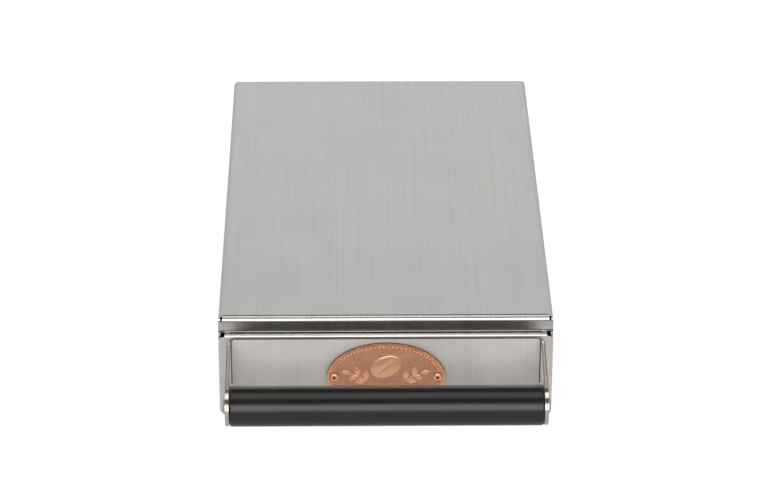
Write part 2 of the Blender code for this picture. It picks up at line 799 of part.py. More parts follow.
def runner_outline(side):
    """The runner's cross-section: a foot on the base, a wall beside the housing's side and a channel at the top."""
    roof_top = CHANNEL_ROOF + RUNNER_WALL
    shelf_bottom = CHANNEL_FLOOR - RUNNER_WALL
    points = [
        (RUNNER_OUTER, RUNNER_BOTTOM),
        (RUNNER_OUTER, roof_top),
        (CHANNEL_MOUTH, roof_top),
        (CHANNEL_MOUTH, CHANNEL_ROOF),
        (RUNNER_INNER, CHANNEL_ROOF),
        (RUNNER_INNER, CHANNEL_FLOOR),
        (CHANNEL_MOUTH, CHANNEL_FLOOR),
        (CHANNEL_MOUTH, shelf_bottom),
        (RUNNER_INNER, shelf_bottom),
        (RUNNER_INNER, RUNNER_FOOT_TOP),
        (RUNNER_OUTER - RUNNER_FOOT_WIDTH, RUNNER_FOOT_TOP),
        (RUNNER_OUTER - RUNNER_FOOT_WIDTH, RUNNER_BOTTOM),
    ]
    return [(side * x, z) for x, z in points]


def build_runners(assembly):
    """Extruded runners, the nylon strips that the tray glides on, and the blocks that stop it."""
    length = RUNNER_REAR - RUNNER_FRONT
    middle_y = (RUNNER_REAR + RUNNER_FRONT) / 2
    for side_name, side in SIDES:
        mesh = outline_mesh("runner_" + side_name, runner_outline(side), length)
        runner = assembly.add("runner_" + side_name, mesh, ALUMINIUM, (0, middle_y, 0), TO_FRONT)
        drill(
            assembly,
            runner,
            "runner_holes_" + side_name,
            [place for place in foot_screw_places(RUNNER_BOTTOM) if place[0] * side > 0],
            FOOT_SCREW_DIAMETER / 2 + SCREW_SLACK,
            2 * OVERCUT,
            TO_UP,
        )
        ends = sorted((side * (CHANNEL_MOUTH + GAP), side * (TRAY_LIP_EDGE - GAP)))
        strip, middle = plain_box(
            "glide_strip_" + side_name,
            (ends[0], RUNNER_FRONT + GAP, CHANNEL_FLOOR + GAP),
            (ends[1], RUNNER_REAR - GAP, GLIDE_TOP),
        )
        assembly.add("glide_strip_" + side_name, strip, WHITE_NYLON, middle)
        ends = sorted((side * (TRAY_LIP_EDGE + GAP), side * (RUNNER_INNER - GAP)))
        size, middle = box_between(
            (ends[0], STOP_BLOCK_FRONT, CHANNEL_FLOOR + GAP),
            (ends[1], STOP_BLOCK_REAR, CHANNEL_ROOF - GAP),
        )
        bm = box_bmesh(size)
        round_edges(bm, STOP_BLOCK_EDGE_RADIUS, 1, runs_along(1))
        block = mesh_from(bm, "stop_block_" + side_name)
        assembly.add("stop_block_" + side_name, block, WHITE_NYLON, middle)


def tray_surface():
    """The tray's outer surface: a box with no top, and a lip turned outwards along each side."""
    low = (-TRAY_SIDE, TRAY_FRONT, TRAY_BOTTOM)
    high = (TRAY_SIDE, TRAY_REAR, TRAY_FOLD_Z)
    size, middle = box_between(low, high)
    bm = box_bmesh(size)
    top_faces = [face for face in bm.faces if face.normal.z > 0.5]
    bmesh.ops.delete(bm, geom=top_faces, context="FACES")
    top = size.z / 2
    half_width = size.x / 2

    def corner(direction, place):
        return abs(direction.z) > 0.5 or place.z < -top + MERGE

    round_edges(bm, TRAY_CORNER_RADIUS, TRAY_CORNER_SEGMENTS, corner)
    for side in (-1, 1):
        rim = [
            edge for edge in bm.edges
            if edge.is_boundary and all(abs(vertex.co.x - side * half_width) < MERGE for vertex in edge.verts)
        ]
        grown = bmesh.ops.extrude_edge_only(bm, edges=rim)["geom"]
        outer = [item for item in grown if isinstance(item, bmesh.types.BMVert)]
        bmesh.ops.translate(bm, vec=(side * TRAY_LIP_WIDTH, 0, 0), verts=outer)
    bm.normal_update()

    def fold(direction, place):
        along = abs(direction.y) > 0.5
        return along and abs(place.z - top) < MERGE and abs(abs(place.x) - half_width) < MERGE

    round_edges(bm, TRAY_LIP_FOLD_RADIUS, 2, fold)
    mesh = bpy.data.meshes.new("drawer_tray")
    bm.to_mesh(mesh)
    bm.free()
    mesh.shade_smooth()
    mesh.set_sharp_from_angle(angle=SMOOTH_ANGLE)
    return mesh, middle


def build_drawer_tray(assembly):
    mesh, middle = tray_surface()
    tray = assembly.add("drawer_tray", mesh, BRUSHED_STEEL, middle)
    sheet = tray.modifiers.new("sheet", "SOLIDIFY")
    sheet.thickness = TRAY_SHEET
    sheet.offset = -1
    sheet.use_even_offset = True
    ear_middle_z = TRAY_TOP - TRAY_SHEET / 2
    for side_name, side in SIDES:
        ends = sorted((side * (TRAY_LIP_EDGE - EAR_ROOT), side * EAR_EDGE))
        ear, place = plain_box(
            "tray_ear_" + side_name,
            (ends[0], EAR_FRONT, ear_middle_z - EAR_THICKNESS / 2),
            (ends[1], EAR_FRONT + EAR_LENGTH, ear_middle_z + EAR_THICKNESS / 2),
        )
        combine(tray, assembly.add_cutter("tray_ear_" + side_name, ear, place), "UNION")
    drill(
        assembly,
        tray,
        "tray_stud_holes",
        stud_places(TRAY_FRONT),
        STUD_DIAMETER / 2 + SCREW_SLACK,
        2 * (TRAY_SHEET + OVERCUT),
        TO_FRONT,
    )
    drill(
        assembly,
        tray,
        "tray_knock_bar_holes",
        [(side * TRAY_SIDE, KNOCK_BAR_Y, KNOCK_BAR_Z) for _, side in SIDES],
        KNOCK_SCREW_DIAMETER / 2 + SCREW_SLACK,
        2 * (TRAY_SHEET + OVERCUT),
        TO_RIGHT,
    )


def panel_section():
    """The front panel cut through from the side, as (Y, Z): a flat sheet whose top edge is turned back."""
    bend_y = PANEL_FACE + PANEL_BEND_RADIUS
    inner = PANEL_BEND_RADIUS - PANEL_SHEET
    turns = [math.pi / 2 * (1 + step / BEND_SEGMENTS) for step in range(BEND_SEGMENTS + 1)]
    points = [(PANEL_BACK, PANEL_BOTTOM)]
    points += [(bend_y + inner * math.cos(turn), PANEL_BEND_Z + inner * math.sin(turn)) for turn in reversed(turns)]
    points += [(-PANEL_RETURN_GAP, PANEL_TOP - PANEL_SHEET), (-PANEL_RETURN_GAP, PANEL_TOP)]
    radius = PANEL_BEND_RADIUS
    points += [(bend_y + radius * math.cos(turn), PANEL_BEND_Z + radius * math.sin(turn)) for turn in turns]
    points.append((PANEL_FACE, PANEL_BOTTOM))
    return points


def panel_corner_outline(side, flat_edge, way):
    """What is cut from one corner of the front panel, as (X, Z): the bend's end, and all outside the rounding."""
    radius = PANEL_CORNER_RADIUS
    centre = (HALF_WIDTH - radius, flat_edge - way * radius)
    points = []
    for step in range(BEND_SEGMENTS + 1):
        angle = math.pi / 2 * step / BEND_SEGMENTS
        points.append((centre[0] + radius * math.cos(angle), centre[1] + way * radius * math.sin(angle)))
    beyond = flat_edge + way * (PANEL_BEND_RADIUS + OVERCUT)
    far = HALF_WIDTH + OVERCUT
    points += [(centre[0], beyond), (far, beyond), (far, centre[1])]
    return [(side * x, z) for x, z in points]


def build_drawer_front(assembly):
    """The front panel: a flat sheet with rounded corners, its top edge turned back between them."""
    mesh = outline_mesh("drawer_front", panel_section(), 2 * HALF_WIDTH)
    panel = assembly.add("drawer_front", mesh, BRUSHED_STEEL, turn=(math.pi / 2, 0, math.pi / 2))
    middle = (0, (PANEL_FACE - PANEL_RETURN_GAP) / 2, 0)
    for side_name, side in SIDES:
        for level, flat_edge, way in (("lower", PANEL_BOTTOM, -1), ("upper", PANEL_BEND_Z, 1)):
            name = "panel_corner_" + side_name + "_" + level
            corner = outline_mesh(name, panel_corner_outline(side, flat_edge, way), PANEL_STANDOFF + 2 * OVERCUT)
            combine(panel, assembly.add_cutter(name, corner, middle, TO_FRONT), solver="MANIFOLD")
    drill(
        assembly,
        panel,
        "panel_stud_holes",
        stud_places(PANEL_FACE),
        STUD_DIAMETER / 2 + SCREW_SLACK,
        2 * (PANEL_SHEET + OVERCUT),
        TO_FRONT,
    )


def tangent_angle(point, centre, radius, side):
    """The angle, from the circle's centre, at which a line from the point touches the circle."""
    across = point[0] - centre[0]
    up = point[1] - centre[1]
    distance = math.hypot(across, up)
    return math.atan2(up, across) + side * math.acos(radius / distance)


def arm_outline():
    """The bracket seen from the side, as (Y, Z): the web's height, and arms drawn in to a round tip about the bar."""
    shoulder = WEB_FACE - ARM_SHOULDER
    centre = (HANDLE_Y, HANDLE_Z)
    start = tangent_angle((shoulder, ARM_TOP), centre, ARM_TIP_RADIUS, 1)
    end = tangent_angle((shoulder, WEB_BOTTOM), centre, ARM_TIP_RADIUS, -1)
    if end < start:
        end += 2 * math.pi
    points = [(WEB_BACK + OVERCUT, WEB_TOP), (shoulder, WEB_TOP), (shoulder, ARM_TOP)]
    for step in range(ARM_TIP_SEGMENTS + 1):
        angle = start + (end - start) * step / ARM_TIP_SEGMENTS
        y = centre[0] + ARM_TIP_RADIUS * math.cos(angle)
        z = centre[1] + ARM_TIP_RADIUS * math.sin(angle)
        points.append((y, z))
    points += [(shoulder, WEB_BOTTOM), (WEB_BACK + OVERCUT, WEB_BOTTOM)]
    return points


def relief_outline(side):
    """What is cut from the bracket's top at a bend, as (X, Z), which leaves the web's corner round."""
    radius = BRACKET_RELIEF_RADIUS
    edge = ARM_OUTER - BRACKET_RELIEF_INSET
    points = []
    for step in range(BEND_SEGMENTS + 1):
        angle = math.pi / 2 * step / BEND_SEGMENTS
        x = edge - radius + radius * math.cos(angle)
        z = WEB_TOP - radius + radius * math.sin(angle)
        points.append((side * x, z))
    far = ARM_OUTER + OVERCUT
    above = WEB_TOP + OVERCUT
    points += [(side * (edge - radius), above), (side * far, above), (side * far, ARM_TOP), (side * edge, ARM_TOP)]
    return points


def build_handle_bracket(assembly):
    """A U folded from one plate: the web lies on the drawer's front and the arms carry the bar."""
    arm_front = HANDLE_Y - HANDLE_DIAMETER
    size, middle = box_between((-ARM_OUTER, arm_front, WEB_BOTTOM - OVERCUT), (ARM_OUTER, WEB_BACK, WEB_TOP + OVERCUT))
    bm = box_bmesh(size)

    def rear_corner(direction, place):
        return abs(direction.z) > 0.5 and place.y > 0

    round_edges(bm, BRACKET_BEND_RADIUS, BEND_SEGMENTS, rear_corner)
    bracket = assembly.add("handle_bracket", mesh_from(bm, "handle_bracket"), BRUSHED_STEEL, middle)
    size, middle = box_between(
        (-ARM_INNER, arm_front - OVERCUT, WEB_BOTTOM - 2 * OVERCUT),
        (ARM_INNER, WEB_FACE, WEB_TOP + 2 * OVERCUT),
    )
    bm = box_bmesh(size)
    round_edges(bm, BRACKET_BEND_RADIUS - BRACKET_SHEET, BEND_SEGMENTS, rear_corner)
    inside = assembly.add_cutter("bracket_inside", mesh_from(bm, "bracket_inside"), middle)
    combine(bracket, inside, solver="MANIFOLD")
    arms = outline_mesh("bracket_side_view", arm_outline(), 2 * (ARM_OUTER + OVERCUT))
    side_view = assembly.add_cutter("bracket_side_view", arms, turn=(math.pi / 2, 0, math.pi / 2))
    combine(bracket, side_view, "INTERSECT", "MANIFOLD")
    depth = WEB_BACK + OVERCUT - arm_front
    for side_name, side in SIDES:
        mesh = outline_mesh("bracket_relief_" + side_name, relief_outline(side), depth)
        place = (0, WEB_BACK + OVERCUT - depth / 2, 0)
        relief = assembly.add_cutter("bracket_relief_" + side_name, mesh, place, TO_FRONT)
        combine(bracket, relief, solver="MANIFOLD")
    stud_start = WEB_BACK - STUD_ROOT
    stud_end = TRAY_FRONT_INSIDE + GAP + NUT_HEIGHT + STUD_OVERHANG
    drill(
        assembly,
        bracket,
        "bracket_studs",
        stud_places((stud_start + stud_end) / 2),
        STUD_DIAMETER / 2,
        stud_end - stud_start,
        TO_FRONT,
        "UNION",
        "MANIFOLD",
    )
    drill(
        assembly,
        bracket,
        "bracket_rivet_holes",
        [(side * RIVET_X, WEB_FACE, BADGE_Z) for _, side in SIDES],
        RIVET_DIAMETER / 2 + SCREW_SLACK,
        2 * (BRACKET_SHEET + OVERCUT),
        TO_FRONT,
        solver="MANIFOLD",
    )
    drill(
        assembly,
        bracket,
        "bracket_bar_holes",
        [(side * ARM_INNER, HANDLE_Y, HANDLE_Z) for _, side in SIDES],
        HANDLE_SCREW_DIAMETER / 2 + SCREW_SLACK,
        2 * (BRACKET_SHEET + OVERCUT),
        TO_RIGHT,
        solver="MANIFOLD",
    )


def build_bracket_nuts(assembly):
    mesh = nut_mesh("bracket_nut", NUT_WIDTH, NUT_HEIGHT, STUD_DIAMETER + 2 * SCREW_SLACK)
    names = ["bracket_nut_" + side + "_" + level for side, _ in SIDES for level, _ in LEVELS]
    for name, place in zip(names, stud_places(TRAY_FRONT_INSIDE + GAP)):
        assembly.add(name, mesh, SATIN_STEEL, place, TO_REAR)


def build_handle_bar(assembly):
    mesh = bored_bar_mesh(
        "handle_bar",
        HANDLE_DIAMETER,
        2 * (ARM_INNER - GAP),
        HANDLE_EDGE_RADIUS,
        HANDLE_SCREW_DIAMETER,
        HANDLE_BORE_DEPTH,
        BAR_SIDES,
    )
    assembly.add("handle_bar", mesh, BLACK_GRIP, (0, HANDLE_Y, HANDLE_Z), TO_RIGHT)
    screw = screw_mesh(
        "handle_screw",
        HANDLE_SCREW_DIAMETER,
        HANDLE_SCREW_LENGTH,
        HANDLE_SCREW_HEAD_DIAMETER,
        HANDLE_SCREW_HEAD_HEIGHT,
        HANDLE_SCREW_SOCKET,
    )
    for (side_name, side), turn in zip(SIDES, (TO_LEFT, TO_RIGHT)):
        place = (side * (ARM_OUTER + GAP), HANDLE_Y, HANDLE_Z)
        assembly.add("handle_screw_" + side_name, screw, BRIGHT_STEEL, place, turn)


def badge_mesh():
    """An oval plate about its own middle, its back at Z = 0, with a raised rim round a sunken field."""
    bm = bmesh.new()
    oval = Matrix.Diagonal((BADGE_WIDTH / 2, BADGE_HEIGHT / 2, BADGE_THICKNESS, 1))
    lift = Matrix.Translation((0, 0, BADGE_THICKNESS / 2))
    bmesh.ops.create_cone(
        bm,
        cap_ends=True,
        segments=BADGE_SEGMENTS,
        radius1=1,
        radius2=1,
        depth=1,
        matrix=lift @ oval,
    )
    face = [face for face in bm.faces if face.normal.z > 0.5]
    bmesh.ops.inset_region(bm, faces=face, thickness=BADGE_RIM_WIDTH, use_even_offset=True)
    face = [item for item in bm.faces if item.normal.z > 0.5 and len(item.verts) == BADGE_SEGMENTS]
    bmesh.ops.inset_region(bm, faces=face, thickness=BADGE_RIM_SLOPE, use_even_offset=True)
    face = [item for item in bm.faces if item.normal.z > 0.5 and len(item.verts) == BADGE_SEGMENTS]
    bmesh.ops.translate(bm, vec=(0, 0, -BADGE_RIM_RISE), verts=list(face[0].verts))
    return mesh_from(bm, "badge_plate")


def build_badge(assembly):
    """The oval plate on the bracket's web and the two rivets that hold it."""
    badge = assembly.add("badge_plate", badge_mesh(), COPPER, (0, BADGE_BACK, BADGE_Z), TO_FRONT)
    drill(
        assembly,
        badge,
        "badge_rivet_holes",
        [(side * RIVET_X, BADGE_BACK, BADGE_Z) for _, side in SIDES],
        RIVET_DIAMETER / 2 + SCREW_SLACK,
        2 * (BADGE_THICKNESS + OVERCUT),
        TO_FRONT,
    )
    head = RIVET_HEAD_DIAMETER / 2
    dimple = RIVET_DIMPLE_DIAMETER / 2
    shank = RIVET_DIAMETER / 2
    length = BADGE_BACK - BADGE_FIELD + 2 * GAP + BRACKET_SHEET
    profile = [(0, RIVET_HEAD_HEIGHT - RIVET_DIMPLE_DEPTH), (dimple, RIVET_HEAD_HEIGHT - RIVET_DIMPLE_DEPTH)]
    profile.append((dimple, RIVET_HEAD_HEIGHT))
    edge = RIVET_HEAD_HEIGHT * (1 - SCREW_EDGE_SHARE)
    profile += quarter_round(head, RIVET_HEAD_HEIGHT - edge, edge, 90, 0)
    profile += [(head, 0), (shank, 0), (shank, -length), (0, -length)]
    mesh = turned_mesh("badge_rivet", profile)
    for side_name, side in SIDES:
        place = (side * RIVET_X, BADGE_FIELD - GAP, BADGE_Z)
        assembly.add("badge_rivet_" + side_name, mesh, COPPER, place, TO_FRONT)


def build_knock_bar(assembly):
    """A steel rod across the tray in a rubber sleeve, held by a screw and a washer at each end."""
    place = (0, KNOCK_BAR_Y, KNOCK_BAR_Z)
    core_half = TRAY_SIDE - TRAY_SHEET - GAP
    core = bored_bar_mesh(
        "knock_bar_core",
        KNOCK_CORE_DIAMETER,
        2 * core_half,
        KNOCK_EDGE_CHAMFER,
        KNOCK_SCREW_DIAMETER,
        KNOCK_BORE_DEPTH,
        SLEEVE_SIDES,
    )
    assembly.add("knock_bar_core", core, BRIGHT_STEEL, place, TO_RIGHT)
    sleeve_half = core_half - KNOCK_SLEEVE_END_SPACE
    sleeve = ring_mesh(
        "knock_bar_sleeve",
        KNOCK_SLEEVE_DIAMETER,
        KNOCK_CORE_DIAMETER + 2 * GAP,
        2 * sleeve_half,
        KNOCK_SLEEVE_EDGE_RADIUS,
        SLEEVE_SIDES,
    )
    assembly.add("knock_bar_sleeve", sleeve, BLACK_RUBBER, (-sleeve_half, KNOCK_BAR_Y, KNOCK_BAR_Z), TO_RIGHT)
    washer = ring_mesh(
        "knock_bar_washer",
        KNOCK_WASHER_DIAMETER,
        KNOCK_SCREW_DIAMETER + 2 * SCREW_SLACK,
        KNOCK_WASHER_THICKNESS,
        KNOCK_WASHER_THICKNESS * SCREW_EDGE_SHARE,
        SCREW_SIDES,
    )
    screw = screw_mesh(
        "knock_bar_screw",
        KNOCK_SCREW_DIAMETER,
        KNOCK_SCREW_LENGTH,
        KNOCK_SCREW_HEAD_DIAMETER,
        KNOCK_SCREW_HEAD_HEIGHT,
        KNOCK_SCREW_SOCKET,
    )
    washer_seat = TRAY_SIDE + GAP
    head_seat = washer_seat + KNOCK_WASHER_THICKNESS + GAP
    for (side_name, side), turn in zip(SIDES, (TO_LEFT, TO_RIGHT)):
        washer_place = (side * washer_seat, KNOCK_BAR_Y, KNOCK_BAR_Z)
        screw_place = (side * head_seat, KNOCK_BAR_Y, KNOCK_BAR_Z)
        assembly.add("knock_bar_washer_" + side_name, washer, SATIN_STEEL, washer_place, turn)
        assembly.add("knock_bar_screw_" + side_name, screw, SATIN_STEEL, screw_place, turn)


def main():
    clear_scene()
    parts = new_collection("coffee_knock_drawer")
    cutters = new_collection("cutters")
    cutters.hide_render = True
    housing_frame = new_empty("housing_frame", parts, place=(0, FRONT_EDGE_Y, 0))
    drawer_frame = new_empty("drawer_slide_axis", parts, housing_frame)
    housing = Assembly(parts, cutters, housing_frame)
    drawer = Assembly(parts, cutters, drawer_frame)
    build_housing_shell(housing)
    build_rear_panel(housing)
    build_rear_screws(housing)
    build_rear_bumpers(housing)
    build_base_plate(housing)
    build_feet(housing)
    build_runners(housing)
    build_drawer_tray(drawer)
    build_drawer_front(drawer)
    build_handle_bracket(drawer)
    build_bracket_nuts(drawer)
    build_handle_bar(drawer)
    build_badge(drawer)
    build_knock_bar(drawer)


main()
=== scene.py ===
"""Coffee knock drawer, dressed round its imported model.

Each sub-assembly is a class. Its meshes are built in millimetres, in a frame whose X runs across, whose Y is zero at
the housing's front edge and grows to the rear, and whose Z is the height over the table. A finished piece is turned
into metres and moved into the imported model's frame. The finishes read the object's own coordinates, in metres.
"""

import logging
import math
from dataclasses import dataclass
from enum import Enum
from functools import cached_property, reduce
from typing import Callable, Iterable, Optional, Sequence, Union

import bmesh
import bpy
from mathutils import Matrix, Vector


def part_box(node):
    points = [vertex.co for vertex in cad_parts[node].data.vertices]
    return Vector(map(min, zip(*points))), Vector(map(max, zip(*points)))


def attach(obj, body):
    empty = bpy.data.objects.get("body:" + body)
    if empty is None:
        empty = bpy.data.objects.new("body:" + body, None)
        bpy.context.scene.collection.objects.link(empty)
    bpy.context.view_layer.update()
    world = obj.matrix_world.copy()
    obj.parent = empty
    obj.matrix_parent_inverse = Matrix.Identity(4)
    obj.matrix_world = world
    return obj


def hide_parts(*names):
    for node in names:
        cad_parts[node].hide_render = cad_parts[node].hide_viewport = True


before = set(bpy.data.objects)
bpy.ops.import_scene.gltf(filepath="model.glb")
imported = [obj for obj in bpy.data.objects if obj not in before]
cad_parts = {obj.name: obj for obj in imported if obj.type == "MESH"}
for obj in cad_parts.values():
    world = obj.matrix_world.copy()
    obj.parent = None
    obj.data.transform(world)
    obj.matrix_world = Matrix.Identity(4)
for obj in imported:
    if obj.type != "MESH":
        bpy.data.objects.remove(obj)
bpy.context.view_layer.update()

Mesh = bmesh.types.BMesh
Vert = bmesh.types.BMVert
Edge = bmesh.types.BMEdge
Face = bmesh.types.BMFace
Thing = bpy.types.Object
Material = bpy.types.Material
Tree = bpy.types.NodeTree
Node = bpy.types.Node
Socket = bpy.types.NodeSocket
Pair = tuple[float, float]
Point = tuple[float, float, float]
Colour = tuple[float, float, float]
Value = Union[float, tuple, Socket]

MM = 0.001
MERGE = 0.0005
FRONT_EDGE_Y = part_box("housing_shell")[0].y
LOG = logging.getLogger("knock_drawer")
SIDES = (("left", -1), ("right", 1))
ALL_ACROSS = (-1.0, 91.0)
WHOLE_ARM = (-42.0, -4.0)
ARM_TIP = (-60.0, -43.0)


class Body(Enum):
    """The two bodies that pieces ride on."""

    HOUSING = "housing"
    DRAWER = "drawer"


class Slot(Enum):
    """The material slots."""

    SHEET = "brushed_sheet"
    FASTENER = "satin_fastener"
    ROD = "bright_rod"
    ALUMINIUM = "runner_aluminium"
    GRIP = "black_grip"
    RUBBER = "black_rubber"
    NYLON = "white_nylon"
    COPPER = "copper_plate"


class Facing(Enum):
    """Turns that point a turned piece's own +Z along an axis of the object."""

    UP = Matrix.Identity(4)
    DOWN = Matrix.Rotation(math.pi, 4, "X")
    FRONT = Matrix.Rotation(math.pi / 2, 4, "X")
    REAR = Matrix.Rotation(-math.pi / 2, 4, "X")
    RIGHT = Matrix.Rotation(math.pi / 2, 4, "Y")
    LEFT = Matrix.Rotation(-math.pi / 2, 4, "Y")


class GrainRun(Enum):
    """Which way the grain runs on faces that look to a side."""

    ALONG_DEPTH = "along depth"
    UPRIGHT = "upright"


OUTWARD = {-1: Facing.LEFT, 1: Facing.RIGHT}


# Mesh work


def edges_where(bm: Mesh, test: Callable[[Vector], bool]) -> list[Edge]:
    """Pick the edges whose two ends both pass a test.

    Args:
        bm: The mesh to look in.
        test: Says whether a place, in millimetres, is wanted.

    Returns:
        The edges found.
    """
    return [edge for edge in bm.edges if all(test(vertex.co) for vertex in edge.verts)]


def faces_where(bm: Mesh, test: Callable[[Vector, Vector], bool]) -> list[Face]:
    """Pick faces by their middle and their normal.

    Args:
        bm: The mesh to look in.
        test: Says whether a face with this middle and this normal is wanted.

    Returns:
        The faces found.
    """
    bm.normal_update()
    return [face for face in bm.faces if test(face.calc_center_median(), face.normal)]


def edges_among(bm: Mesh, corners: Sequence[Vert]) -> list[Edge]:
    """Pick the edges that run between some of a mesh's vertices."""
    return [edge for edge in bm.edges if all(vertex in corners for vertex in edge.verts)]


def near(value: float, target: float, slack: float = 0.01) -> bool:
    """Say whether two lengths agree to a hundredth of a millimetre, or to the slack given."""
    return abs(value - target) < slack


def drop_faces(bm: Mesh, test: Callable[[Vector, Vector], bool]) -> None:
    """Delete the faces that pass a test on their middle and normal."""
    bmesh.ops.delete(bm, geom=faces_where(bm, test), context="FACES")


def block(bm: Mesh, low: Point, high: Point) -> list[Vert]:
    """Add a box between two corners.

    Args:
        bm: The mesh to add to.
        low: The lowest corner.
        high: The highest corner.

    Returns:
        The box's vertices.
    """
    made = bmesh.ops.create_cube(bm, size=1.0)["verts"]
    bmesh.ops.scale(bm, vec=Vector(high) - Vector(low), verts=made)
    bmesh.ops.translate(bm, vec=(Vector(low) + Vector(high)) / 2, verts=made)
    return made


def fold(bm: Mesh, edges: Iterable[Edge], radius: float, segments: int = 6) -> None:
    """Round edges, as a press brake or a deburring tool does.

    Args:
        bm: The mesh that holds the edges.
        edges: The edges to round.
        radius: How far the rounding reaches from the edge.
        segments: How many facets it gets.
    """
    bmesh.ops.bevel(
        bm,
        geom=list(edges),
        offset=radius,
        offset_type="OFFSET",
        affect="EDGES",
        segments=segments,
        profile=0.5,
        material=-1,
        clamp_overlap=True,
    )


def ease(bm: Mesh, radius: float, segments: int = 2, sharper_than: float = 40.0) -> None:
    """Round every edge that is sharper than an angle.

    Args:
        bm: The mesh that holds the edges.
        radius: How far the rounding reaches from the edge.
        segments: How many facets it gets.
        sharper_than: The angle in degrees.
    """
    limit = math.radians(sharper_than)
    sharp = [edge for edge in bm.edges if edge.is_manifold and edge.calc_face_angle(0.0) > limit]
    fold(bm, sharp, radius, segments)


def cut_across(bm: Mesh, point: Point, normal: Point) -> None:
    """Score the whole mesh along a plane, so that faces can be picked on either side of it."""
    geometry = bm.verts[:] + bm.edges[:] + bm.faces[:]
    bmesh.ops.bisect_plane(bm, geom=geometry, plane_co=point, plane_no=normal, dist=MERGE)


def weld(bm: Mesh) -> None:
    """Merge doubled vertices and turn the normals of a closed mesh outwards.

    Args:
        bm: The mesh.
    """
    bmesh.ops.remove_doubles(bm, verts=bm.verts[:], dist=MERGE)
    bmesh.ops.dissolve_degenerate(bm, edges=bm.edges[:], dist=MERGE / 2)
    bmesh.ops.recalc_face_normals(bm, faces=bm.faces[:])


def grow(bm: Mesh, edges: Sequence[Edge], by: Point) -> list[Vert]:
    """Extrude open edges by a step.

    Args:
        bm: The mesh that holds the edges.
        edges: The edges.
        by: How far and which way.

    Returns:
        The new vertices.
    """
    grown = bmesh.ops.extrude_edge_only(bm, edges=edges)["geom"]
    ahead = [item for item in grown if isinstance(item, Vert)]
    bmesh.ops.translate(bm, vec=by, verts=ahead)
    return ahead


def face_outwards(bm: Mesh, face: Face, outward: Point) -> None:
    """Turn all the normals over if one face looks the wrong way."""
    if face.normal.dot(Vector(outward)) < 0:
        bmesh.ops.reverse_faces(bm, faces=bm.faces[:])


def spun(bm: Mesh, geom: list, centre: Point, axis: Point, angle: float, steps: int, merge: bool = False) -> None:
    """Spin vertices and edges about an axis.

    Args:
        bm: The mesh that holds them.
        geom: The vertices and edges.
        centre: A place on the axis.
        axis: The axis's direction.
        angle: How far they turn.
        steps: In how many steps.
        merge: Whether the last step joins the first, as in a full turn.
    """
    bmesh.ops.spin(
        bm,
        geom=geom,
        cent=centre,
        axis=axis,
        dvec=(0, 0, 0),
        angle=angle,
        steps=steps,
        use_merge=merge,
        use_normal_flip=False,
        use_duplicate=False,
    )


def turned(
    profile: Sequence[Pair],
    steps: int,
    closed: bool = False,
    rounded: Sequence[tuple[float, float, float]] = (),
    segments: int = 4,
) -> Mesh:
    """Turn a profile about +Z, as on a lathe.

    Args:
        profile: Points of the profile, each as radius and height.
        steps: How many sides the turned piece has.
        closed: Whether the profile's last point joins its first, as on a ring.
        rounded: Which of the profile's corners are rounded, each as radius, height and rounding.
        segments: How many facets each rounding gets.

    Returns:
        The closed mesh.
    """
    bm = bmesh.new()
    points = [bm.verts.new((radius, 0, height)) for radius, height in profile]
    pairs = list(zip(points, points[1:]))
    if closed:
        pairs.append((points[-1], points[0]))
    lines = [bm.edges.new(pair) for pair in pairs]
    spun(bm, points + lines, (0, 0, 0), (0, 0, 1), 2 * math.pi, steps, merge=True)
    weld(bm)
    for radius, height, rounding in rounded:
        ring = edges_where(bm, lambda co: near(math.hypot(co.x, co.y), radius) and near(co.z, height))
        fold(bm, ring, rounding, segments)
    return bm


def join(bm: Mesh, other: Mesh, facing: Facing = Facing.UP, place: Point = (0, 0, 0)) -> None:
    """Move one mesh into another, turned and placed, and free it.

    Args:
        bm: The mesh that receives.
        other: The mesh that is moved in.
        facing: Where its own +Z points.
        place: Where its own origin goes.
    """
    other.transform(Matrix.Translation(place) @ facing.value)
    carrier = bpy.data.meshes.new("carrier")
    other.to_mesh(carrier)
    other.free()
    bm.from_mesh(carrier)
    bpy.data.meshes.remove(carrier)


def placed(bm: Mesh, facing: Facing, place: Point) -> Mesh:
    """Turn and place a mesh, and hand it back."""
    bm.transform(Matrix.Translation(place) @ facing.value)
    return bm


def bridge_to_hexagon(bm: Mesh, ring_radius: float, height: float, across: float, depth: float) -> None:
    """Sink a hexagon socket into the open ring at the top of a turned head.

    Args:
        bm: The head, whose top is open along a ring.
        ring_radius: The ring's radius.
        height: The ring's height.
        across: The socket's width across its flats.
        depth: How deep it goes.
    """
    ring = edges_where(bm, lambda co: near(math.hypot(co.x, co.y), ring_radius, 0.02) and near(co.z, height, 0.02))
    mouth = bmesh.ops.create_circle(bm, segments=6, radius=across / math.sqrt(3), cap_ends=False)["verts"]
    bmesh.ops.translate(bm, vec=(0, 0, height), verts=mouth)
    rim = edges_among(bm, mouth)
    bmesh.ops.bridge_loops(bm, edges=ring + rim)
    floor = grow(bm, rim, (0, 0, -depth))
    bmesh.ops.holes_fill(bm, edges=edges_among(bm, floor), sides=6)


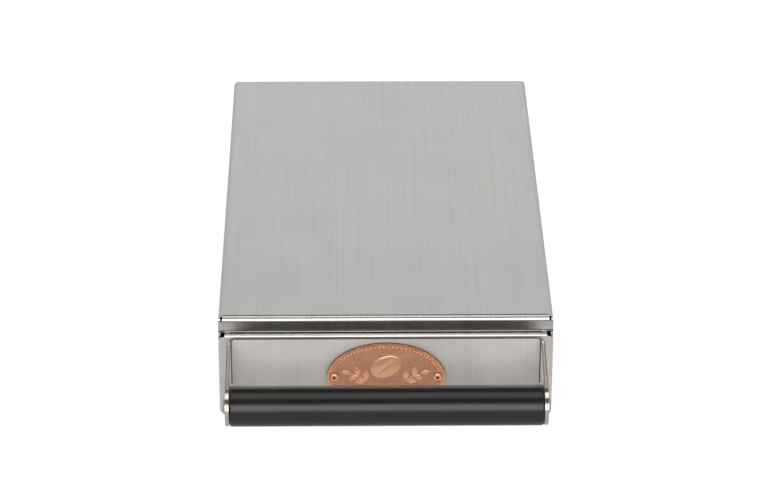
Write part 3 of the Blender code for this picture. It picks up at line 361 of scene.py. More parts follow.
def hex_button_screw(head: float, height: float, socket: float, shank: float, length: float) -> Mesh:
    """A button head screw about +Z, its head standing on zero and its shank running down.

    Args:
        head: The head's diameter.
        height: The head's height.
        socket: The socket's width across its flats.
        shank: The shank's diameter.
        length: The shank's length.

    Returns:
        The closed mesh.
    """
    outer = head / 2
    ring = min(outer * 0.62, socket / math.sqrt(3) + 0.35)
    core = shank / 2
    profile = [(ring, height), (outer * 0.74, height * 0.93), (outer * 0.93, height * 0.62), (outer, height * 0.25)]
    profile += [(outer, 0.12), (outer - 0.12, 0.0), (core, 0.0)]
    pitch = shank * 0.175
    turns = int((length - 1.0) / pitch)
    for turn in range(turns):
        profile += [(core, -1.0 - turn * pitch), (core - pitch * 0.55, -1.0 - (turn + 0.5) * pitch)]
    profile += [(core - pitch * 0.6, -length + 0.1), (core * 0.6, -length), (0.0, -length)]
    bm = turned(profile, 36)
    bridge_to_hexagon(bm, ring, height, socket, height * 0.62)
    weld(bm)
    return bm


def hexagon_nut(across: float, height: float, bore: float) -> Mesh:
    """A chamfered hexagon nut about +Z, standing on zero.

    Args:
        across: Its width across the flats.
        height: Its height.
        bore: The bore's diameter.

    Returns:
        The closed mesh.
    """
    bm = bmesh.new()
    outer = bmesh.ops.create_circle(bm, segments=6, radius=across / math.sqrt(3), cap_ends=False)["verts"]
    outer_edges = edges_where(bm, lambda co: True)
    inner = bmesh.ops.create_circle(bm, segments=24, radius=bore / 2, cap_ends=False)["verts"]
    bmesh.ops.bridge_loops(bm, edges=outer_edges + edges_among(bm, inner))
    grown = bmesh.ops.extrude_face_region(bm, geom=bm.faces[:])["geom"]
    bmesh.ops.translate(bm, vec=(0, 0, height), verts=[v for v in grown if isinstance(v, Vert)])
    weld(bm)
    flat_radius = across / 2 * 1.08
    rims = [edge for edge in bm.edges if edge.is_manifold and edge.calc_face_angle(0) > 1.0]
    rims = [edge for edge in rims if all(math.hypot(v.co.x, v.co.y) > flat_radius for v in edge.verts)]
    fold(bm, [edge for edge in rims if near(edge.verts[0].co.z, edge.verts[1].co.z)], height * 0.12, 2)
    return bm


def bored_rod(radius: float, half: float, bore: float, depth: float, rounding: float, **facets: int) -> Mesh:
    """A rod about +Z with a blind bore in each end.

    Args:
        radius: The rod's radius.
        half: Half its length.
        bore: The bores' radius.
        depth: How deep they go.
        rounding: How far its ends are rounded.
        **facets: The steps and segments that turned takes.

    Returns:
        The closed mesh.
    """
    profile = [(0, half - depth), (bore, half - depth), (bore, half), (radius, half)]
    profile += [(across, -height) for across, height in reversed(profile)]
    return turned(profile, rounded=[(radius, half, rounding), (radius, -half, rounding)], **facets)


@dataclass
class Piece:
    """A finished piece: what it rides on, what it replaces and what it is made of."""

    name: str
    body: Body
    slot: Slot
    finishes: Sequence[Material]
    replaces: Sequence[str] = ()
    sheet: float = 0.0
    edge: float = 0.0
    smooth: float = 32.0
    rim: int = 0

    def make(self, bm: Mesh) -> Thing:
        """Turn a mesh in millimetres into a placed, dressed piece.

        Args:
            bm: The mesh. It is freed.

        Returns:
            The piece's object, riding on its body.
        """
        bmesh.ops.remove_doubles(bm, verts=bm.verts[:], dist=MERGE)
        bmesh.ops.scale(bm, vec=(MM, MM, MM), verts=bm.verts[:])
        bmesh.ops.translate(bm, vec=(0, FRONT_EDGE_Y, 0), verts=bm.verts[:])
        mesh = bpy.data.meshes.new(self.name)
        bm.to_mesh(mesh)
        bm.free()
        for finish in self.finishes:
            mesh.materials.append(finish)
        piece = bpy.data.objects.new(self.name, mesh)
        bpy.context.scene.collection.objects.link(piece)
        if self.sheet:
            wall = piece.modifiers.new("sheet", "SOLIDIFY")
            wall.thickness = self.sheet * MM
            wall.offset = -1
            wall.use_even_offset = True
            wall.material_offset_rim = self.rim
        if self.edge:
            eased = piece.modifiers.new("eased edges", "BEVEL")
            eased.width = self.edge * MM
            eased.segments = 2
            eased.limit_method = "ANGLE"
            eased.angle_limit = math.radians(40)
            eased.use_clamp_overlap = True
        self.settle(piece)
        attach(piece, self.body.value)
        if self.replaces:
            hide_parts(*self.replaces)
        return piece

    def settle(self, piece: Thing) -> None:
        """Apply the piece's modifiers and set which of its edges shade as sharp.

        Args:
            piece: The object, with its live modifiers.
        """
        if piece.modifiers:
            bpy.context.view_layer.update()
            evaluated = piece.evaluated_get(bpy.context.evaluated_depsgraph_get())
            applied = bpy.data.meshes.new_from_object(evaluated)
            piece.modifiers.clear()
            before = piece.data
            piece.data = applied
            bpy.data.meshes.remove(before)
            applied.name = self.name
        piece.data.shade_smooth()
        piece.data.set_sharp_from_angle(angle=math.radians(self.smooth))
        weighted = piece.modifiers.new("flat faces", "WEIGHTED_NORMAL")
        weighted.keep_sharp = True
        weighted.weight = 80


def stand_in(node: str, ending: str, body: Body, slot: Slot, finish: Material, bm: Mesh, **sizes: float) -> Thing:
    """Make the piece that takes one node's place.

    Args:
        node: The node's name.
        ending: What the piece's name adds to it.
        body: What the piece rides on.
        slot: Its material slot, kept with the piece and not used.
        finish: What it is made of.
        bm: Its mesh in millimetres, which is freed.
        **sizes: Its sheet and edge, as in Piece.

    Returns:
        The piece's object.
    """
    return Piece(f"{node}_{ending}", body, slot, [finish], [node], **sizes).make(bm)


def four_places(across: float, levels: Sequence[tuple[str, float]]) -> list[tuple[str, float, float]]:
    """Give four places, two on each side: each one's label, where it is across and its level."""
    return [(f"{name}_{level}", side * across, height) for name, side in SIDES for level, height in levels]


# Finishes


class Nodes:
    """A node tree, with short ways to add to it."""

    def __init__(self, tree: Tree) -> None:
        """Keep the tree, emptied."""
        tree.nodes.clear()
        self.tree = tree

    def add(self, kind: str, inputs: Optional[dict] = None, **settings: object) -> Node:
        """Add a node and fill its sockets.

        Args:
            kind: The node's type, without its ShaderNode prefix.
            inputs: Values or sockets for its inputs, by name or index.
            **settings: Values for its own settings.

        Returns:
            The new node.
        """
        node = self.tree.nodes.new("ShaderNode" + kind)
        for key, value in settings.items():
            setattr(node, key, value)
        for key, value in (inputs or {}).items():
            if isinstance(value, Socket):
                self.tree.links.new(value, node.inputs[key])
            else:
                node.inputs[key].default_value = value
        return node

    def math(self, operation: str, *values: Value, clamp: bool = False) -> Socket:
        """Add a Math node and hand back its result."""
        return self.add("Math", dict(enumerate(values)), operation=operation, use_clamp=clamp).outputs[0]

    def times(self, first: Value, second: Value) -> Socket:
        """Multiply two values."""
        return self.math("MULTIPLY", first, second)

    def swayed(self, start: Value, by: Value, share: Value) -> Socket:
        """Add a share of one value to another."""
        return self.math("MULTIPLY_ADD", by, share, start)

    def ramp(self, value: Value, low: float, high: float) -> Socket:
        """Add a smooth step from 0 at one value to 1 at another and hand back its result."""
        inputs = {"Value": value, "From Min": low, "From Max": high}
        return self.add("MapRange", inputs, interpolation_type="SMOOTHSTEP").outputs["Result"]

    def mix(self, share: Value, first: Value, second: Value, kind: str = "MIX") -> Socket:
        """Blend two colours.

        Args:
            share: How much of the second colour shows.
            first: The first colour.
            second: The second colour.
            kind: The blend type.

        Returns:
            The mixed colour's socket.
        """
        colours = [(*colour, 1.0) if isinstance(colour, tuple) else colour for colour in (first, second)]
        inputs = {0: share, 6: colours[0], 7: colours[1]}
        return self.add("Mix", inputs, data_type="RGBA", blend_type=kind).outputs[2]

    def choose(self, share: Socket, first: Value, second: Value) -> Socket:
        """Go from one vector to another."""
        return self.add("Mix", {0: share, 4: first, 5: second}, data_type="VECTOR").outputs[1]

    def noise(self, place: Socket, scale: Value, detail: float, roughness: float = 0.5) -> Socket:
        """Add a noise texture and hand back its value."""
        inputs = {"Vector": place, "Scale": scale, "Detail": detail, "Roughness": roughness}
        return self.add("TexNoise", inputs).outputs["Fac"]


class Group(Nodes):
    """A shader node group in the making, whose first input is the place."""

    def __init__(self, name: str, outputs: Sequence[str], **inputs: float) -> None:
        """Start the group.

        Args:
            name: The group's name.
            outputs: Its outputs.
            **inputs: Its other inputs, each with its default value.
        """
        super().__init__(bpy.data.node_groups.new(name, "ShaderNodeTree"))
        interface = self.tree.interface
        interface.new_socket(name="Place", in_out="INPUT", socket_type="NodeSocketVector")
        for label, value in inputs.items():
            interface.new_socket(name=label, in_out="INPUT", socket_type="NodeSocketFloat").default_value = value
        for label in outputs:
            interface.new_socket(name=label, in_out="OUTPUT", socket_type="NodeSocketFloat")
        self.enter = self.tree.nodes.new("NodeGroupInput")
        self.leave = self.tree.nodes.new("NodeGroupOutput")

    def given(self, label: str) -> Socket:
        """Give one of the group's inputs."""
        return self.enter.outputs[label]

    def give(self, **values: Socket) -> Tree:
        """Wire up the group's outputs.

        Args:
            **values: What each output says.

        Returns:
            The group's tree.
        """
        for label, value in values.items():
            self.tree.links.new(value, self.leave.inputs[label])
        return self.tree


class Effects:
    """The node groups that more than one finish uses, each built once."""

    def __init__(self) -> None:
        """Build every group."""
        self.grain = self.build_grain()
        self.handling = self.build_handling()
        self.edge_wear = self.build_edge_wear()
        self.dust = self.build_dust()

    @staticmethod
    def build_grain() -> Tree:
        """Build the grain of a belt-ground surface.

        Returns:
            The group. Its Place has the direction across the grain first.
        """
        group = Group("belt_grain", ("Fine", "Broad", "Height"), Lines=2400.0, Run=12.0)
        run = group.given("Run")
        stretch = group.add("CombineXYZ", {0: group.given("Lines"), 1: run, 2: run}).outputs[0]
        place = group.add("VectorMath", {0: group.given("Place"), 1: stretch}, operation="MULTIPLY").outputs[0]
        fine = group.noise(place, scale=1.0, detail=2.0, roughness=0.6)
        broad = group.noise(place, scale=0.17, detail=3.0, roughness=0.55)
        height = group.swayed(group.times(fine, 0.6), broad, 0.4)
        fine, broad = (group.math("SUBTRACT", noise, 0.5) for noise in (fine, broad))
        return group.give(Fine=fine, Broad=broad, Height=height)

    @staticmethod
    def build_handling() -> Tree:
        """Build the soft cloudy marks that wiping and handling leave.

        Returns:
            The group.
        """
        group = Group("handling_marks", ("Mask",), Size=30.0)
        clouds = group.noise(group.given("Place"), scale=group.given("Size"), detail=4.0)
        return group.give(Mask=group.ramp(clouds, 0.38, 0.68))

    @staticmethod
    def build_edge_wear() -> Tree:
        """Build the mask of edges that use has rubbed bright.

        Returns:
            The group.
        """
        group = Group("edge_wear", ("Mask",), Width=0.0003, Breakup=900.0)
        rounded = group.add("Bevel", {"Radius": group.given("Width")}, samples=4).outputs[0]
        plain = group.add("NewGeometry").outputs["Normal"]
        same = group.add("VectorMath", {0: rounded, 1: plain}, operation="DOT_PRODUCT").outputs["Value"]
        flecks = group.noise(group.given("Place"), scale=group.given("Breakup"), detail=3.0)
        return group.give(Mask=group.times(group.ramp(same, 0.985, 0.80), group.ramp(flecks, 0.40, 0.62)))

    @staticmethod
    def build_dust() -> Tree:
        """Build the mask of fine dust that settles on faces that look up.

        Returns:
            The group.
        """
        group = Group("settled_dust", ("Mask",), Upward=1.0, Specks=1400.0)
        place = group.given("Place")
        grains = group.ramp(group.noise(place, scale=group.given("Specks"), detail=2.0), 0.45, 0.75)
        spread = group.ramp(group.noise(place, scale=40.0, detail=3.0), 0.35, 0.70)
        lying = group.ramp(group.given("Upward"), 0.2, 0.9)
        return group.give(Mask=group.times(group.times(grains, spread), lying))


class Surface(Nodes):
    """A material in the making: its tree, its Principled node, and the place and effects that it draws on."""

    def __init__(self, name: str, effects: Effects) -> None:
        """Start the material.

        Args:
            name: The material's name.
            effects: The shared node groups.
        """
        self.material = bpy.data.materials.new(name)
        self.material.use_nodes = True
        super().__init__(self.material.node_tree)
        self.effects = effects
        self.shader = self.add("BsdfPrincipled")
        self.add("OutputMaterial", {0: self.shader.outputs[0]})
        self.coordinates = self.add("TexCoord").outputs
        self.place = self.coordinates["Object"]

    @cached_property
    def parts(self) -> Sequence[Socket]:
        """Split the place into its three parts."""
        return self.add("SeparateXYZ", {0: self.place}).outputs

    @cached_property
    def facing(self) -> Sequence[Socket]:
        """Split the normal into its three parts."""
        return self.add("SeparateXYZ", {0: self.coordinates["Normal"]}).outputs

    @cached_property
    def side(self) -> Socket:
        """Give the distance from the object's middle plane."""
        return self.math("ABSOLUTE", self.parts[0])

    def reordered(self, order: Sequence[int]) -> Socket:
        """Give the place with its parts in another order."""
        return self.add("CombineXYZ", {spot: self.parts[part] for spot, part in enumerate(order)}).outputs[0]

    def use(self, group: Tree, **values: Value) -> Sequence[Socket]:
        """Place a node group and hand back its outputs."""
        return self.add("Group", values, node_tree=group).outputs

    def grain(self, place: Socket, lines: float, run: float) -> Sequence[Socket]:
        """Place the grain and hand back its outputs."""
        return self.use(self.effects.grain, Place=place, Lines=lines, Run=run)

    def marks(self, size: float) -> Socket:
        """Place the handling marks and hand back their mask."""
        return self.use(self.effects.handling, Place=self.place, Size=size)["Mask"]

    def wear(self, width: float) -> Socket:
        """Place the edge wear and hand back its mask."""
        return self.use(self.effects.edge_wear, Place=self.place, Width=width)["Mask"]

    def tinted(self, colour: Colour, tone: Socket) -> Socket:
        """Multiply a colour by a tone."""
        tint = self.add("CombineColor", {0: tone, 1: tone, 2: tone}).outputs[0]
        return self.mix(1.0, colour, tint, "MULTIPLY")

    def rubbed(self, colour: Colour, tone: Socket, width: float, share: float, gain: float) -> Socket:
        """Tint a metal and brighten its rubbed edges.

        Args:
            colour: The metal's colour.
            tone: What the colour is multiplied by.
            width: How wide the edge wear is.
            share: How much of it shows.
            gain: How much brighter it is.

        Returns:
            The colour's socket.
        """
        bright = tuple(min(1.0, channel * gain) for channel in colour)
        return self.mix(self.times(self.wear(width), share), self.tinted(colour, tone), bright)

    def finish(
        self, base: Socket, rough: Socket, height: Socket, bump: Pair, plain: dict, sunk: bool = False
    ) -> Material:
        """Wire up the shader.

        Args:
            base: The base colour.
            rough: The roughness.
            height: What the bump follows.
            bump: The bump's strength and distance.
            plain: Values for the shader's own sockets.
            sunk: Whether the bump sinks where the height grows.

        Returns:
            The finished material.
        """
        inputs = {"Strength": bump[0], "Distance": bump[1], "Height": height}
        normal = self.add("Bump", inputs, invert=sunk).outputs[0]
        for label, value in (("Base Color", base), ("Roughness", rough), ("Normal", normal)):
            self.tree.links.new(value, self.shader.inputs[label])
        for label, value in plain.items():
            self.shader.inputs[label].default_value = value
        return self.material


@dataclass(frozen=True)
class Stretch:
    """A stretch, alike on both sides, that differs from the rest, where shade or a highlight is painted into the colour
    or the roughness changes: its limits in mm, from the middle out.
    """

    across: Pair
    depth: Pair
    height: Pair = (0.0, 70.0)
    share: float = 0.05
    soft: float = 0.1

    def mask(self, surface: Surface) -> Socket:
        """Find where the stretch is.

        Args:
            surface: The material in the making.

        Returns:
            1 inside it and 0 outside.
        """
        edges = []
        limits = ((surface.side, self.across, 0.0), (surface.parts[1], self.depth, FRONT_EDGE_Y))
        for value, (low, high), start in (*limits, (surface.parts[2], self.height, 0.0)):
            for limit, half in ((low, self.soft / 2), (high, -self.soft / 2)):
                edges.append(surface.ramp(value, start + (limit - half) * MM, start + (limit + half) * MM))
        return reduce(surface.times, edges)

    def shade(self, surface: Surface, tone: Socket) -> Socket:
        """Paint shade or a highlight: multiply the tone by the stretch's share inside it."""
        return surface.times(tone, surface.swayed(1.0, self.mask(surface), self.share - 1.0))


@dataclass(frozen=True)
class BrushedSteel:
    """Stainless sheet, belt-ground in one direction."""

    name: str
    colour: Colour = (0.6035, 0.5925, 0.587)
    roughness: float = 0.26
    anisotropy: float = 0.80
    run: GrainRun = GrainRun.ALONG_DEPTH
    lines: float = 2300.0
    tone: float = 0.26
    marks: float = 0.022
    bent: bool = False
    # Stretches where shade or a highlight is painted into the colour.
    painted_light: tuple = ()
    rougher: tuple = ()

    def make(self, effects: Effects) -> Material:
        """Build the material.

        Args:
            effects: The shared node groups.

        Returns:
            The material.
        """
        surface = Surface(self.name, effects)
        upright = self.run is GrainRun.UPRIGHT
        sideways = surface.math("GREATER_THAN", surface.math("ABSOLUTE", surface.facing[0]), 0.7)
        beside = surface.reordered((1, 2, 0) if upright else (2, 1, 0))
        grain = surface.grain(surface.choose(sideways, surface.place, beside), self.lines, run=9.0)
        marks = surface.marks(size=22.0)
        tone = surface.swayed(1.0, grain["Fine"], self.tone)
        tone = surface.swayed(tone, grain["Broad"], 0.12)
        tone = surface.swayed(tone, marks, -self.marks)
        # On the bent shell: painted shade along the side bends, then mottled weld marks at the front corners.
        if self.bent:
            tone = self.shade_welds(surface, self.paint_bend_shade(surface, tone))
        # Painted shade and highlights in the given stretches.
        for stretch in self.painted_light:
            tone = stretch.shade(surface, tone)
        rough = surface.swayed(surface.swayed(self.roughness, grain["Broad"], 0.10), marks, 0.025)
        for stretch, change in self.rougher:
            rough = surface.swayed(rough, stretch.mask(surface), change)
        along = (0.0, 1.0, 0.0) if upright else (0.0, 0.0, 1.0)
        surface.tree.links.new(surface.choose(sideways, (1.0, 0.0, 0.0), along), surface.shader.inputs["Tangent"])
        base = surface.rubbed(self.colour, tone, width=0.00035, share=0.5, gain=1.22)
        plain = {"Metallic": 1.0, "Anisotropic": self.anisotropy}
        return surface.finish(base, rough, grain["Height"], bump=(0.35, 0.000004), plain=plain)

    @staticmethod
    def paint_bend_shade(surface: Surface, tone: Socket) -> Socket:
        """Darken the sheet where its sides are bent: painted shade along the bends."""
        both = surface.times(surface.ramp(surface.side, 0.0870, 0.0892), surface.ramp(surface.parts[2], 0.0572, 0.0584))
        return surface.times(tone, surface.swayed(1.0, both, -0.22))

    @staticmethod
    def shade_welds(surface: Surface, tone: Socket) -> Socket:
        """Mottle the front corners, where welds were ground flush.

        Args:
            surface: The material in the making.
            tone: The tone so far.

        Returns:
            The new tone.
        """
        front = surface.ramp(surface.parts[1], FRONT_EDGE_Y + 0.0040, FRONT_EDGE_Y + 0.0015)
        corner = surface.times(surface.ramp(surface.side, 0.0835, 0.0880), front)
        speckle = surface.math("SUBTRACT", surface.noise(surface.place, scale=1300.0, detail=3.0, roughness=0.65), 0.5)
        return surface.math("ADD", tone, surface.times(speckle, corner))


@dataclass(frozen=True)
class CutEdge:
    """The rim of a sheet where the laser cut it: darker and streaked across."""

    name: str
    colour: Colour
    roughness: float = 0.5
    # Stretches where shade or a highlight is painted into the colour.
    painted_light: tuple = ()
    smooth_from: float = 0.0
    smooth: float = 0.0

    def make(self, effects: Effects) -> Material:
        """Build the material.

        Args:
            effects: The shared node groups.

        Returns:
            The material.
        """
        surface = Surface(self.name, effects)
        streaks = surface.noise(surface.place, scale=2600.0, detail=3.0, roughness=0.6)
        tone = surface.swayed(0.75, streaks, 0.5)
        # Painted shade and highlights in the given stretches.
        for stretch in self.painted_light:
            tone = stretch.shade(surface, tone)
        rough = surface.swayed(self.roughness, surface.marks(size=180.0), 0.1)
        if self.smooth:
            ahead = FRONT_EDGE_Y + self.smooth_from * MM
            rough = surface.swayed(rough, surface.ramp(surface.parts[1], ahead + 0.0006, ahead - 0.0006), -self.smooth)
        base = surface.tinted(self.colour, tone)
        return surface.finish(base, rough, streaks, bump=(0.3, 0.00001), plain={"Metallic": 1.0})


@dataclass(frozen=True)
class TurnedMetal:
    """Turned or rolled metal, with fine marks round its axis and cloudy handling marks."""

    name: str
    colour: Colour
    roughness: float
    rings: float = 1500.0
    axis: int = 0
    # Stretches where shade is painted into the colour.
    painted_light: tuple = ()

    def make(self, effects: Effects) -> Material:
        """Build the material.

        Args:
            effects: The shared node groups.

        Returns:
            The material.
        """
        surface = Surface(self.name, effects)
        order = sorted(range(3), key=lambda index: index != self.axis)
        grain = surface.grain(surface.reordered(order), self.rings, run=30.0)
        marks = surface.marks(size=90.0)
        tone = surface.swayed(surface.swayed(1.0, grain["Fine"], 0.10), marks, -0.05)
        # Painted shade in the given stretches.
        for stretch in self.painted_light:
            tone = stretch.shade(surface, tone)
        base = surface.rubbed(self.colour, tone, width=0.0002, share=0.6, gain=1.25)
        rough = surface.swayed(self.roughness, marks, 0.06)
        return surface.finish(base, rough, grain["Height"], bump=(0.25, 0.000004), plain={"Metallic": 1.0})


@dataclass(frozen=True)
class BlackGrip:
    """The bar's black: turned marks round it, and streaks where hands have polished it."""

    colour: Colour = (0.0034, 0.0029, 0.0027)
    worn_colour: Colour = (0.0096, 0.0086, 0.0080)
    edge_colour: Colour = (0.06, 0.057, 0.054)

    def make(self, effects: Effects) -> Material:
        """Build the material.

        Args:
            effects: The shared node groups.

        Returns:
            The material.
        """
        surface = Surface("black_grip", effects)
        grain = surface.grain(surface.place, lines=1700.0, run=20.0)
        marks = surface.marks(size=55.0)
        streaks = surface.swayed(0.15, grain["Fine"], 0.9)
        handled = surface.math("MULTIPLY_ADD", marks, 0.18, streaks, clamp=True)
        base = surface.mix(handled, self.colour, self.worn_colour)
        base = surface.mix(surface.times(surface.wear(width=0.0004), 0.35), base, self.edge_colour)
        rough = surface.swayed(surface.swayed(0.27, grain["Fine"], 0.12), marks, -0.03)
        return surface.finish(base, rough, grain["Height"], bump=(0.35, 0.00001), plain={"IOR": 1.47})


@dataclass(frozen=True)
class MouldedPolymer:
    """Moulded rubber or nylon: a fine skin, flow marks, rubbed edges and a little settled dust."""

    name: str
    colour: Colour
    rubbed: Colour
    dust: Colour
    roughness: float
    dust_share: float = 0.25
    skin: float = 0.00003
    subsurface: float = 0.0

    def make(self, effects: Effects) -> Material:
        """Build the material.

        Args:
            effects: The shared node groups.

        Returns:
            The material.
        """
        surface = Surface(self.name, effects)
        skin = surface.noise(surface.place, scale=2200.0, detail=3.0, roughness=0.6)
        dust = surface.use(effects.dust, Place=surface.place, Upward=surface.facing[2])["Mask"]
        base = surface.mix(surface.times(surface.marks(size=110.0), 0.35), self.colour, self.rubbed)
        base = surface.mix(surface.times(surface.wear(width=0.0004), 0.5), base, self.rubbed)
        base = surface.mix(surface.times(dust, self.dust_share), base, self.dust)
        rough = surface.swayed(self.roughness - 0.06, skin, 0.12)
        plain = {"Subsurface Weight": self.subsurface, "Subsurface Scale": 0.001} if self.subsurface else {}
        return surface.finish(base, rough, skin, bump=(0.4, self.skin), plain=plain)


@dataclass(frozen=True)
class CopperField:
    """The sunken part of the oval plate: matt, finely stippled and darkened by age."""

    colour: Colour = (0.77, 0.395, 0.258)
    aged: Colour = (0.42, 0.188, 0.122)

    def make(self, effects: Effects) -> Material:
        """Build the material.

        Args:
            effects: The shared node groups.

        Returns:
            The material.
        """
        surface = Surface("copper_field", effects)
        stipple = surface.add("TexVoronoi", {"Vector": surface.place, "Scale": 2600.0}).outputs["Distance"]
        patina = surface.ramp(surface.noise(surface.place, scale=700.0, detail=4.0), 0.35, 0.75)
        pits = surface.ramp(stipple, 0.15, 0.75)
        dark = surface.math("MULTIPLY_ADD", pits, 0.30, surface.times(patina, 0.35), clamp=True)
        rough = surface.swayed(0.50, surface.marks(size=120.0), 0.08)
        base = surface.mix(dark, self.colour, self.aged)
        return surface.finish(base, rough, stipple, bump=(0.5, 0.00004), plain={"Metallic": 1.0}, sunk=True)


@dataclass(frozen=True)
class CopperRelief:
    """The plate's raised parts: rubbed bright at their edges, darker in cloudy patches."""

    name: str = "copper_relief"
    colour: Colour = (1.0, 0.53, 0.30)
    aged: Colour = (0.58, 0.25, 0.14)
    roughness: float = 0.36
    edge_colour: Colour = (1.0, 0.62, 0.34)

    def make(self, effects: Effects) -> Material:
        """Build the material.

        Args:
            effects: The shared node groups.

        Returns:
            The material.
        """
        surface = Surface(self.name, effects)
        scratches = surface.noise(surface.place, scale=1900.0, detail=4.0, roughness=0.65)
        base = surface.mix(surface.times(surface.marks(size=260.0), 0.35), self.colour, self.aged)
        base = surface.mix(surface.times(surface.wear(width=0.0002), 0.7), base, self.edge_colour)
        rough = surface.swayed(self.roughness - 0.08, scratches, 0.16)
        return surface.finish(base, rough, scratches, bump=(0.3, 0.00001), plain={"Metallic": 1.0})


class Finishes:
    """Every finish on the object, built once from the shared effects."""

    def __init__(self) -> None:
        """Build the materials."""
        effects = Effects()
        # Painted shade and a painted highlight on the housing: near black inside the shell behind each front corner
        # relief, a brighter band on the front bend, a darker band where the bend meets the lip, and darker rows along
        # the lip's lower edge.
        housing_painted_light = (
            Stretch((87.7, 88.95), (0.25, 30.0), (46.0, 59.05), 0.03),
            Stretch(ALL_ACROSS, (0.65, 1.75), (58.0, 61.0), 1.5, 0.3),
            Stretch(ALL_ACROSS, (-1.0, 0.17), (57.0, 58.15), 0.62, 0.15),
            Stretch(ALL_ACROSS, (-1.0, 0.1), (51.05, 52.1), 0.6, 0.12),
            Stretch(ALL_ACROSS, (-1.0, 0.1), (51.3, 52.0), 0.28, 0.1),
        )
        fold_and_lip = (
            (Stretch(ALL_ACROSS, (-1.0, 2.7), (56.9, 70.0), soft=1.2), 0.03),
            (Stretch(ALL_ACROSS, (-1.0, 0.3), (50.0, 56.9), soft=0.4), 0.04),
        )
        # Painted light: the rear of the drawer front's turned top edge, under the housing's lip, is brightened.
        turned_edge_painted_light = Stretch(ALL_ACROSS, (-1.7, 1.0), (49.9, 51.0), 1.32, 0.5)
        # Painted shade: a dark line down the bracket where the web bends into each arm.
        web_corner_painted_shade = Stretch((82.72, 83.4), (-6.4, 0.0), (22.0, 70.0), 0.12, 0.25)
        # Painted shade and a painted highlight on the bracket arms' ground edges: dark lines along both sides of each
        # arm, a bright spot at each arm's root, and a darker lower part with a dark line on each tip.
        arm_painted_light = (
            Stretch((83.0, 83.7), WHOLE_ARM, (10.0, 70.0), 0.40, 0.3),
            Stretch((84.8, 85.5), WHOLE_ARM, (10.0, 70.0), 0.30, 0.3),
            Stretch((83.6, 84.9), (-7.4, -5.9), (10.0, 70.0), 1.6, 0.3),
            Stretch((83.0, 85.5), ARM_TIP, (10.0, 37.6), 0.72, 0.5),
            Stretch((84.1, 84.5), ARM_TIP, (32.0, 37.6), 0.35, 0.3),
        )
        # Painted shade: the runners' first 13 mm at the front are darkened nearly to black.
        runner_end_painted_shade = Stretch((70.0, 90.0), (0.0, 13.0), (0.0, 70.0), 0.03)
        upright = GrainRun.UPRIGHT
        panel, plate = (0.74, 0.722, 0.705), (0.765, 0.739, 0.716)
        self.housing = BrushedSteel("housing_sheet", bent=True, painted_light=housing_painted_light, rougher=fold_and_lip).make(effects)
        self.tray = BrushedSteel("tray_sheet", roughness=0.36, lines=1900.0).make(effects)
        self.panel = BrushedSteel("front_sheet", panel, 0.42, run=upright, painted_light=(turned_edge_painted_light,)).make(effects)
        self.bracket = BrushedSteel(
            "bracket_plate", plate, 0.68, 0.3, upright, tone=0.16, marks=0.10, painted_light=(web_corner_painted_shade,)
        ).make(effects)
        self.dark_cut = CutEdge("laser_cut_edge", (0.16, 0.155, 0.15)).make(effects)
        self.bright_cut = CutEdge("ground_edge", (0.70, 0.64, 0.585), 0.46, arm_painted_light, -42.4, 0.30).make(effects)
        self.fastener = TurnedMetal("satin_fastener", (0.56, 0.56, 0.55), 0.36).make(effects)
        self.rod = TurnedMetal("turned_rod", (0.68, 0.68, 0.67), 0.20).make(effects)
        self.screw = TurnedMetal("dull_screw", (0.42, 0.41, 0.40), 0.5).make(effects)
        self.aluminium = TurnedMetal(
            "extruded_aluminium", (0.72, 0.73, 0.74), 0.38, 900.0, 2, (runner_end_painted_shade,)
        ).make(effects)
        self.grip = BlackGrip().make(effects)
        self.rubber = MouldedPolymer(
            "black_rubber", (0.018, 0.018, 0.018), (0.040, 0.039, 0.038), (0.20, 0.17, 0.14), 0.68
        ).make(effects)
        self.nylon = MouldedPolymer(
            "white_nylon", (0.80, 0.80, 0.77), (0.70, 0.69, 0.65), (0.45, 0.40, 0.34), 0.46, 0.12, 0.00001, 0.15
        ).make(effects)
        self.copper_field = CopperField().make(effects)
        self.copper_rim = CopperRelief().make(effects)
        self.copper_motif = CopperRelief("copper_motif", (1.0, 0.56, 0.34), (0.72, 0.36, 0.215), 0.40).make(effects)
        # Dark copper for the plate's side wall: painted shade round the plate's outline.
        self.copper_side_painted_shade = CopperRelief("copper_side_painted_shade", (0.13, 0.06, 0.04), (0.08, 0.035, 0.025), 0.5).make(effects)


# Sub-assemblies


